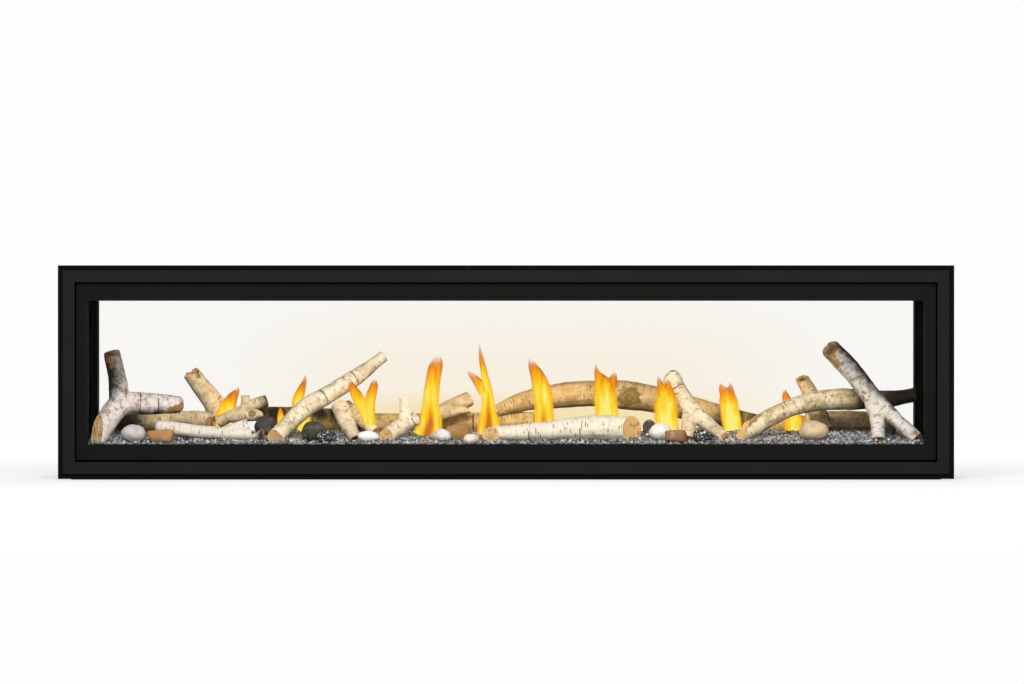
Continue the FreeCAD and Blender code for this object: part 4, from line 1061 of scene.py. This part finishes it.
# %% End grain
def end_grain():
    finish = Finish("sawn_end_grain")
    spot = finish.place()
    bark = finish.own("bark", "Vector")
    flat = finish.node("Mapping", {}, {"Vector": bark, "Scale": (0.0, 1.0, 1.0)})
    middle = finish.node("VectorMath", {"operation": "LENGTH"}, {0: flat}, "Value")
    wobble = finish.grain(spot, 90.0, 4.0)
    ring = finish.node("Math", {"operation": "FRACT"}, {0: middle * 260.0 + wobble * 1.6})
    fibre = finish.grain(spot, 420.0, 3.0, 0.7)
    wood = finish.mix((0.92, 0.61, 0.275), (0.76, 0.46, 0.18), finish.step(ring, 0.45, 1.0))
    wood = finish.mix(wood, (0.32, 0.165, 0.065), finish.step(wobble, 0.52, 0.66) * 0.7)
    wood = finish.mix(wood, (0.20, 0.09, 0.035), finish.step(fibre, 0.56, 0.70) * 0.6)
    # Painted shade, with a little soot, darkens the marked end faces as well.
    wood = finish.mix(wood, (0.014, 0.011, 0.009), finish.step(finish.own("scorch"), 0.0, 0.7) * 0.92)
    return finish.surface({
        "Base Color": wood,
        "Roughness": 0.78 + fibre * 0.12,
        "Specular IOR Level": 0.25,
        "Normal": finish.bump(ring * 0.4 + fibre, 0.4, 0.0012),
    })


wood_finish = end_grain()
print("end grain of", len(wood_finish.node_tree.nodes), "nodes")

# %% [markdown]
# Now each log is grown: its limbs become a skin, the skin is roughened and sawn, and the marks are
# written on it. The bark pattern is shifted from log to log and from limb to limb, so that no two show
# the same stretch of it. A finished log takes the place of its CAD casting.

# %% Grow the logs
VOXEL = 2.2 * MM
EASE_ROUNDS = 7
PATTERN_SHIFT = 1.37
LIMB_SHIFT = 0.31


def grow_casting(limbs, cuts, knots):
    """One log as a mesh, with the lengthened centrelines of its limbs."""
    axes = [limb_axis(limb) for limb in limbs]
    long_axes = [lengthened(axis, *ends) for axis, ends in zip(axes, cuts)]
    part = bmesh.new()
    part.from_mesh(melted(mesh_of(branch_curve(long_axes, True)), VOXEL, EASE_ROUNDS))
    roughen(part, knots)
    for axis, (start, end) in zip(axes, cuts):
        saw_end(part, axis[0], axis[1], start)
        saw_end(part, axis[-1], axis[-2], end)
    level_foot(part)
    for face in part.faces:
        face.smooth = face.material_index == 0
    return mesh_from(part, "casting"), [centreline(axis) for axis in long_axes]


def mark_bark(mesh, name, lines, order):
    places = np.array([vert.co for vert in mesh.vertices])
    bark, limb_of = bark_coordinates(places, lines)
    gap = crack_gap(places, bark, limb_of, CRACKS.get(name, []), lines)
    bark[:, 0] += order * PATTERN_SHIFT + limb_of * LIMB_SHIFT
    set_values(mesh, "bark", "FLOAT_VECTOR", bark)
    set_values(mesh, "crack", "FLOAT", gap)
    for label, marks in (("bare", BARE), ("scorch", SHADE_AND_SOOT), ("knot", KNOTS)):
        set_values(mesh, label, "FLOAT", spot_share(places, marks.get(name, [])))
    for label, value in zip(("tone", "grime"), TONES[name]):
        set_values(mesh, label, "FLOAT", np.full(len(places), value))
    # How far each place faces down; the finish paints shade from it on the underside.
    set_values(mesh, "under", "FLOAT", [-vert.normal.z for vert in mesh.vertices])


def add_piece(name, mesh):
    """A new piece; all of them stand in the firebox, so they ride on the fixed body."""
    piece = link(bpy.data.objects.new(name, mesh))
    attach(piece, "fireplace")
    return piece


def grow_log(name, pieces, order):
    bm = bmesh.new()
    lines = []
    for index, limbs in enumerate(pieces):
        casting, axes = grow_casting(limbs, end_cuts(name, index, limbs), KNOTS.get(name, []))
        bm.from_mesh(casting)
        lines += axes
    mesh = mesh_from(bm, "birch_" + name)
    mark_bark(mesh, name, lines, order)
    mesh.materials.append(bark_finish)
    mesh.materials.append(wood_finish)
    log = add_piece("birch_" + name, mesh)
    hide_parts("log_" + name)
    return len(mesh.polygons)


for order, (name, pieces) in enumerate(LOGS.items()):
    print("birch", name, grow_log(name, pieces, order), "faces")

# %% [markdown]
# ## Stones
# Tumbled stones lie between the logs: smooth pebbles, some broken blocks and two lumps of lava. A
# pebble starts as a ball of triangles that noise pushes gently out of round. A block starts as a cube
# with its corners knocked about and its edges bevelled. Lava is a ball with deep pits. Their colours
# are kept per vertex, darkened towards the foot with painted shade, so one finish paints them all.

# %% Stone list
STONES = [
    (-815, -198, 28, 22, 20, 10, "pebble", (0.56, 0.52, 0.50)),
    (-755, -208, 30, 18, 15, -8, "block", (0.44, 0.215, 0.085)),
    (-529, -120, 24, 20, 24, 15, "pebble", (0.060, 0.052, 0.050)),
    (-421, -185, 27, 20, 23, -12, "pebble", (0.055, 0.052, 0.036)),
    (-394, -212, 22, 14, 14, 5, "lava", (0.12, 0.12, 0.12)),
    (-302, -195, 24, 16, 13, 12, "pebble", (0.92, 0.90, 0.89)),
    (-140, -195, 20, 17, 15, 0, "pebble", (0.80, 0.77, 0.72)),
    (-98, -175, 30, 20, 19, -15, "block", (0.37, 0.195, 0.065)),
    (-77, -215, 16, 12, 11, 8, "pebble", (0.82, 0.74, 0.58)),
    (315, -90, 14, 16, 18, 30, "pebble", (0.060, 0.058, 0.055)),
    (338, -170, 25, 20, 19, 10, "pebble", (0.88, 0.84, 0.78)),
    (375, -212, 34, 16, 15, -6, "block", (0.30, 0.145, 0.070)),
    (430, -205, 22, 17, 15, 25, "lava", (0.14, 0.14, 0.14)),
    (433, -112, 22, 16, 12, 0, "pebble", (0.84, 0.79, 0.69)),
    (674, -178, 32, 24, 23, -10, "pebble", (0.68, 0.50, 0.31)),
    (847, -100, 12, 12, 17, 0, "pebble", (0.16, 0.15, 0.15)),
]
print(len(STONES), "stones to lay")

# %% Stone shapes
STONE_DETAIL = 4
PEBBLE_WAVES = ((0.10, 1.3), (0.03, 4.0))
LAVA_WAVES = PEBBLE_WAVES + ((0.16, 4.5), (0.12, 10.0))
BLOCK_WAVES = ((0.05, 2.4), (0.02, 7.0))
BLOCK_HALF = 0.86
BLOCK_KNOCK = 0.34
BLOCK_EDGE = 0.28
BLOCK_TAPER = 0.78
SORT_LINE = Vector((0.53, 0.31, 0.79))


def swelling(place, shift, waves):
    """How much larger a stone is at a place: noise of several heights and finenesses."""
    return 1.0 + sum(height * noise.noise(place * fineness + shift) for height, fineness in waves)


def rough_ball(shift, waves):
    part = bmesh.new()
    bmesh.ops.create_icosphere(part, subdivisions=STONE_DETAIL, radius=1.0)
    for vert in part.verts:
        out = vert.co.normalized()
        vert.co = out * swelling(out, shift, waves)
    return part


def place_in_line(element):
    """How far along a slanting line the middle of an edge or a face lies."""
    return sum(SORT_LINE.dot(vert.co) for vert in element.verts) / len(element.verts)


def broken_block(rng, shift):
    part = bmesh.new()
    bmesh.ops.create_cube(part, size=2.0 * BLOCK_HALF)
    for vert in part.verts:
        vert.co += Vector([rng.uniform(-BLOCK_KNOCK, BLOCK_KNOCK) for _ in range(3)])
        if vert.co.z < 0.0:
            vert.co.x *= BLOCK_TAPER
    bmesh.ops.bevel(part, geom=part.edges[:], offset=BLOCK_EDGE, segments=3, profile=0.5, affect="EDGES",
                    material=-1)
    bmesh.ops.triangulate(part, faces=part.faces[:])
    # The triangles come in an order that varies from run to run, so they are sorted.
    part.edges.sort(key=place_in_line)
    part.faces.sort(key=place_in_line)
    bmesh.ops.subdivide_edges(part, edges=part.edges[:], cuts=3, use_grid_fill=True)
    for vert in part.verts:
        vert.co *= swelling(vert.co, shift, BLOCK_WAVES)
    return part


def stone_shape(kind, rng, shift):
    if kind == "block":
        return broken_block(rng, shift)
    return rough_ball(shift, LAVA_WAVES if kind == "lava" else PEBBLE_WAVES)

# %% Stone finish
def stone_finish():
    finish = Finish("tumbled_stone")
    spot = finish.place()
    stone = finish.own("stone_color", "Color")
    pitted = finish.own("pitted")
    cloud = finish.grain(spot, 55.0, 5.0, 0.6)
    fine = finish.grain(spot, 480.0, 4.0, 0.7)
    color = finish.mix(stone, (0.10, 0.085, 0.070), finish.step(cloud, 0.50, 0.76) * 0.55)
    color = finish.mix(color, (0.92, 0.88, 0.82), finish.step(cloud, 0.48, 0.22) * 0.22)
    color = finish.mix(color, (0.05, 0.045, 0.04), finish.step(fine, 0.60, 0.78) * 0.40)
    pits = finish.node("TexVoronoi", {}, {"Vector": spot, "Scale": 300.0})
    ash = finish.mix((0.026, 0.025, 0.026), (0.74, 0.73, 0.72), finish.step(pits + fine * 0.4, 0.82, 1.04))
    color = finish.mix(color, ash, pitted)
    return finish.surface({
        "Base Color": color,
        "Roughness": 0.55 + fine * 0.2,
        "Specular IOR Level": 0.35,
        "Normal": finish.bump(cloud * 0.6 + fine * 0.4 + pits * pitted, 0.35, 0.0016),
    })

# %% [markdown]
# Every stone is sized, turned and sunk a little into the bed at its place, and all of them become one
# piece that stands for the CAD stones.

# %% Lay the stones
STONE_SINK = 4 * MM
STONE_SHIFT = (7.3, 2.1, 0.0)
FOOT_SHADE = 0.45


def lay_stones():
    bm = bmesh.new()
    colors = []
    pitted = []
    for index, (x, y, half_l, half_w, half_h, turn, kind, color) in enumerate(STONES):
        part = stone_shape(kind, random.Random(index), Vector([step * index for step in STONE_SHIFT]))
        size = Matrix.Diagonal((half_l * MM, half_w * MM, half_h * MM, 1.0))
        spin = Matrix.Rotation(math.radians(turn), 4, "Z")
        spot = Vector((x * MM, y * MM, bed_height(y * MM) + half_h * MM - STONE_SINK))
        bmesh.ops.transform(part, matrix=Matrix.Translation(spot) @ spin @ size, verts=part.verts)
        for vert in part.verts:
            # Painted shade: each stone gets darker towards its foot.
            rise = min(1.0, max(0.0, 1.0 + (vert.co.z - spot.z) / (half_h * MM)))
            shade = FOOT_SHADE + (1.0 - FOOT_SHADE) * rise
            colors.append([channel * shade for channel in color] + [1.0])
        pitted += [1.0 if kind == "lava" else 0.0] * len(part.verts)
        bm.from_mesh(mesh_from(part, "stone"))
    for face in bm.faces:
        face.smooth = True
    mesh = mesh_from(bm, "tumbled_stones")
    tint = mesh.attributes.new("stone_color", "FLOAT_COLOR", "POINT")
    tint.data.foreach_set("color", np.asarray(colors, np.float32).ravel())
    set_values(mesh, "pitted", "FLOAT", pitted)
    mesh.materials.append(stone_finish())
    return mesh


stones = add_piece("tumbled_stones", lay_stones())
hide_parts("river_stones")
print(len(STONES), "stones,", len(stones.data.polygons), "faces")

# %% [markdown]
# ## Crushed glass
# The burner is buried in chips of dark and clear glass. A pattern on a flat bed would do from across
# the room, but the bed is seen almost edge on, where only real chips give the ragged, sparkling line. A
# chip is a three-sided shard. One tile of chips is strewn with a seeded random generator, two Array
# modifiers repeat it over the bed, and then each corner is lifted to the height of the bed below it.
# Every chip gets its own shade, so the repeat does not show. The bed has a pocket for the pilot, and
# the chips that would lie over it are taken out again.

# %% Chip finish
CHIP_STOPS = [
    (0.00, (0.016, 0.016, 0.017)), (0.20, (0.070, 0.072, 0.076)), (0.42, (0.19, 0.195, 0.205)),
    (0.66, (0.40, 0.41, 0.425)), (0.86, (0.72, 0.73, 0.74)), (1.00, (0.90, 0.91, 0.92)),
]


def chip_finish():
    finish = Finish("crushed_glass")
    shade = finish.own("shade")
    vein = finish.grain(finish.place(), 260.0, 3.0)
    glass = finish.node("ValToRGB", {"stops": CHIP_STOPS}, {0: shade + (vein - 0.5) * 0.20})
    return finish.surface({
        "Base Color": glass,
        "Roughness": 0.06 + vein * 0.12,
        "Specular IOR Level": 0.50,
    })

# %% One tile of chips
CHIP_PITCH = 6.0 * MM
CHIP_RADIUS = (2.2 * MM, 5.4 * MM)
CHIP_LIFT = (-2.5 * MM, -0.5 * MM)
CHIP_DEPTH = 1.6
CHIP_SCATTER = 0.45


def chip_tile(sides, rng):
    """Shards strewn over one tile, whose lowest corner is the origin."""
    bm = bmesh.new()
    columns, rows = [round(side / CHIP_PITCH) for side in sides]
    for column in range(columns):
        for row in range(rows):
            x = (column + 0.5 + rng.uniform(-CHIP_SCATTER, CHIP_SCATTER)) * sides[0] / columns
            y = (row + 0.5 + rng.uniform(-CHIP_SCATTER, CHIP_SCATTER)) * sides[1] / rows
            lie = Matrix.Translation((x, y, rng.uniform(*CHIP_LIFT)))
            turn = Euler([rng.uniform(0.0, math.tau) for _ in range(3)]).to_matrix().to_4x4()
            size = Matrix.Diagonal([rng.uniform(*CHIP_RADIUS) for _ in range(3)] + [1.0])
            bmesh.ops.create_cone(bm, cap_ends=True, segments=3, radius1=1.0, radius2=0.0,
                                  depth=CHIP_DEPTH, matrix=lie @ turn @ size)
    return mesh_from(bm, "chip_tile"), columns * rows

# %% Strew the chips
CHIP_SEED = 72
CHIP_TILES = (10, 3)
CHIP_SHADES = (0.75, 0.70)
CHIP_WALL_GAP = 5 * MM


def without_chips(mesh, gone, corners_each):
    bm = bmesh.new()
    bm.from_mesh(mesh)
    corners = [vert for vert in bm.verts if vert.index // corners_each in gone]
    bmesh.ops.delete(bm, geom=corners, context="VERTS")
    bm.to_mesh(mesh)
    bm.free()


def scatter_chips():
    rng = random.Random(CHIP_SEED)
    corner = Vector((bed_low.x + CHIP_WALL_GAP, bed_low.y + CHIP_WALL_GAP, 0.0))
    sides = [-2.0 * corner.x / CHIP_TILES[0], -2.0 * corner.y / CHIP_TILES[1]]
    tile, count = chip_tile(sides, rng)
    strewn = bpy.data.objects.new("strewn", tile)
    for axis, copies in enumerate(CHIP_TILES):
        repeat = strewn.modifiers.new("repeat", "ARRAY")
        repeat.count = copies
        repeat.use_relative_offset = False
        repeat.use_constant_offset = True
        repeat.constant_offset_displace = [sides[axis] if axis == k else 0.0 for k in range(3)]
    corners_each = len(tile.vertices) // count
    mesh = mesh_of(strewn)
    mesh.name = "glass_chips"
    mesh.transform(Matrix.Translation(corner))
    for vert in mesh.vertices:
        x = min(max(vert.co.x, corner.x), -corner.x)
        y = min(max(vert.co.y, corner.y), -corner.y)
        vert.co = (x, y, vert.co.z + bed_top(x, y))
    chips_in_all = count * CHIP_TILES[0] * CHIP_TILES[1]
    shades = np.repeat([rng.betavariate(*CHIP_SHADES) for _ in range(chips_in_all)], corners_each)
    set_values(mesh, "shade", "FLOAT", shades)
    over_pilot = {vert.index // corners_each for vert in mesh.vertices if vert.co.z < bed_low.z}
    without_chips(mesh, over_pilot, corners_each)
    mesh.materials.append(chip_finish())
    print(chips_in_all - len(over_pilot), "chips,", len(over_pilot), "taken out at the pilot")
    return mesh


chips = add_piece("glass_chips", scatter_chips())

# %% [markdown]
# Between the chips the bed itself shows. A Voronoi pattern in the same greys, with a strong bump, looks
# like more chips further down.

# %% Bed under the chips
def bed_finish():
    finish = Finish("glass_bed")
    spot = finish.place()
    cell = finish.node("TexVoronoi", {}, {"Vector": spot, "Scale": 180.0}, "Color")
    shade = finish.axis(cell, "X")
    return finish.surface({
        "Base Color": finish.mix((0.020, 0.020, 0.021), (0.26, 0.265, 0.27), finish.step(shade, 0.30, 1.0)),
        "Roughness": 0.12 + shade * 0.2,
        "Normal": finish.bump(shade, 0.6, 0.003),
    })


paint(bed_finish(), "media_bed")

# %% [markdown]
# ## The fire
# A flame is not a solid, but a render needs a shape for it. Each tongue is a flat branch that thins to
# a tip: points of along, above the floor and half width, at one depth, in millimetres. Tongues that
# share a root are melted into one skin, as the logs are. Its heat is worked out from how high a point
# lies and how near the edge: pale yellow and dense in the middle, orange and thin at the rim. Each
# flame also has a tint of its own, and the middle of its foot is darker in some, where fresh gas still
# burns, and paler in others.

# %% Flame list
FLAMES = [
    (-25, 0.20, 0.0, [[(-634, 108, 10), (-622, 136, 21), (-614, 155, 19), (-604, 176, 13), (-594, 191, 6),
                       (-590, 200, 1.5)]]),
    (0, 0.15, 0.0, [[(-455, 102, 10), (-446, 118, 15), (-456, 146, 17), (-460, 166, 15), (-453, 192, 10),
                     (-446, 212, 5.5), (-443, 228, 1.5)],
                    [(-497, 106, 9), (-498, 128, 9), (-499, 144, 6), (-500, 156, 1.5)]]),
    (-132, 0.14, 0.0, [[(-304, 118, 7), (-308, 136, 12), (-316, 158, 15), (-328, 182, 13.5), (-338, 200, 9),
                        (-348, 219, 2)],
                       [(-297, 116, 8), (-298, 134, 13), (-300, 156, 14), (-296, 182, 12.5),
                        (-290, 205, 9.5), (-288, 221, 2.5)]]),
    (-108, 0.00, 1.10, [[(-174, 92, 34), (-167, 122, 28), (-166, 160, 20.5), (-162, 204, 18.5),
                         (-156, 240, 17), (-151, 259, 12), (-150, 271, 4)]]),
    (-100, 0.02, 1.10, [[(-36, 96, 31), (-38, 122, 24), (-39, 156, 16), (-42, 192, 13.5), (-46, 220, 9),
                         (-53, 255, 6.5), (-60, 296, 1.5)],
                        [(-48, 190, 14), (-61, 209, 11), (-75, 225, 7), (-90, 237, 2)]]),
    (-60, 0.06, 0.60, [[(84, 104, 25), (84, 128, 24.5), (83, 158, 22.5), (78, 196, 22), (69, 224, 17),
                        (57, 249, 9), (50, 268, 1.5)]]),
    (-60, 0.10, -0.52, [[(224, 104, 28), (222, 140, 28), (219, 172, 28), (217, 196, 25), (208, 217, 15),
                        (201, 230, 7), (198, 252, 1.5)],
                       [(222, 180, 20), (232, 205, 13), (238, 224, 7.5), (240, 237, 1.5)]]),
    (-125, 0.10, -0.56, [[(359, 92, 23), (353, 128, 29), (351, 152, 28), (350, 178, 21), (342, 198, 11),
                         (337, 214, 5.5), (335, 228, 1.5)],
                        [(354, 165, 20), (358, 186, 14.5), (357, 204, 7.5), (356, 219, 1.5)]]),
    (-60, 0.10, -0.48, [[(500, 104, 23), (496, 132, 24), (491, 164, 22.5), (485, 184, 17), (476, 197, 8),
                        (472, 208, 2)],
                       [(492, 168, 17), (493, 188, 12), (495, 201, 5), (493, 209, 2)]]),
    (-20, 0.16, 0.0, [[(634, 98, 21), (635, 122, 22), (630, 146, 16), (620, 172, 10.5), (617, 184, 7),
                       (616, 196, 1.5)]]),
]
print(sum(len(flame[-1]) for flame in FLAMES), "tongues in", len(FLAMES), "flames")

# %% Flame finish
FLAME_DENSITY = 0.95
FLAME_STOPS = [
    (0.00, (1.00, 0.87, 0.20)), (0.18, (1.00, 0.74, 0.055)), (0.42, (1.00, 0.54, 0.012)),
    (0.66, (0.95, 0.34, 0.010)), (0.86, (0.82, 0.24, 0.014)), (1.00, (0.55, 0.18, 0.030)),
]


def flame_finish():
    finish = Finish("gas_flame")
    rise, rim, tint, slit = [finish.own(name) for name in ("rise", "rim", "tint", "slit")]
    lick = finish.grain(finish.place((120.0, 120.0, 18.0)), 1.0, 3.0) - 0.5
    fresh = finish.step(rise, 0.60, 0.05) * (0.1 + finish.step(rim, 0.55, 0.05) * 0.9) * slit
    heat = tint + rim * rim * rim * 0.66 + finish.step(rise, 0.45, 1.0) * 0.86
    color = finish.node("ValToRGB", {"stops": FLAME_STOPS}, {0: heat + fresh + lick * 1.10})
    edge = finish.step(rim + lick * 0.30, 1.0, 0.72)
    tip = finish.step(rise + lick * 0.30, 1.02, 0.82)
    return finish.surface({
        "Base Color": (0.0, 0.0, 0.0),
        "Specular IOR Level": 0.0,
        "Roughness": 1.0,
        "Emission Color": color,
        "Emission Strength": 1.0,
        "Alpha": edge * tip * FLAME_DENSITY,
    })

# %% Light the flames
FLAME_THICKNESS = 0.42
FLAME_VOXEL = 1.6 * MM
FLAME_ROUNDS = 4


def tongue_axis(points, depth):
    return [(Vector((x * MM, depth * MM, z * MM)), half * MM) for x, z, half in points]


def flame_values(places, lines):
    """How high each place is between the flame's foot and its tongue's tip, and how near the edge."""
    limb_of, step_of = nearest(places, lines)
    foot = lines[0]["points"][0, 2]
    rise = np.zeros(len(places))
    rim = np.zeros(len(places))
    for k, line in enumerate(lines):
        mine = limb_of == k
        steps = step_of[mine]
        offset = places[mine] - line["points"][steps]
        rise[mine] = (places[mine, 2] - foot) / (line["points"][-1, 2] - foot)
        rim[mine] = np.abs((offset * line["across"][steps]).sum(axis=1)) / line["radii"][steps]
    return np.clip(rise, 0.0, 1.0), np.clip(rim, 0.0, 1.0)


def light_flame(index, depth, tint, slit, tongues, finish):
    axes = [tongue_axis(points, depth) for points in tongues]
    mesh = melted(mesh_of(branch_curve(axes, True)), FLAME_VOXEL, FLAME_ROUNDS)
    places = np.array([vert.co for vert in mesh.vertices])
    rise, rim = flame_values(places, [centreline(axis) for axis in axes])
    for label, values in (("rise", rise), ("rim", rim), ("tint", tint), ("slit", slit)):
        set_values(mesh, label, "FLOAT", np.broadcast_to(values, len(places)))
    flatten = Matrix.Translation((0, depth * MM, 0)) @ Matrix.Diagonal((1.0, FLAME_THICKNESS, 1.0, 1.0))
    mesh.transform(flatten @ Matrix.Translation((0, -depth * MM, 0)))
    for polygon in mesh.polygons:
        polygon.use_smooth = True
    mesh.materials.append(finish)
    flame = add_piece("flame_" + str(index + 1), mesh)
    flame.visible_shadow = False


fire = flame_finish()
for index, flame in enumerate(FLAMES):
    light_flame(index, *flame, fire)
print(len(FLAMES), "flames")

# %% [markdown]
# The flames glow, but so thin a skin gives little light. Brighter flames would light the logs, but
# their yellow would burn out to white, so a small warm lamp sits in each of them instead.

# %% Firelight
FIRE_POWER = 0.085
FIRE_HEIGHT = 0.150
FIRE_SOFTNESS = 0.05
FIRE_COLOR = (1.0, 0.62, 0.22)
for depth, _, _, tongues in FLAMES:
    trunk = tongues[0]
    x, z, _ = trunk[len(trunk) // 2]
    data = bpy.data.lights.new("firelight", "POINT")
    data.energy = FIRE_POWER * (trunk[-1][1] - trunk[0][1]) * MM / FIRE_HEIGHT
    data.color = FIRE_COLOR
    data.shadow_soft_size = FIRE_SOFTNESS
    lamp = link(bpy.data.objects.new("firelight", data))
    lamp.location = (x * MM, depth * MM, z * MM)
print(len(FLAMES), "small warm lamps")
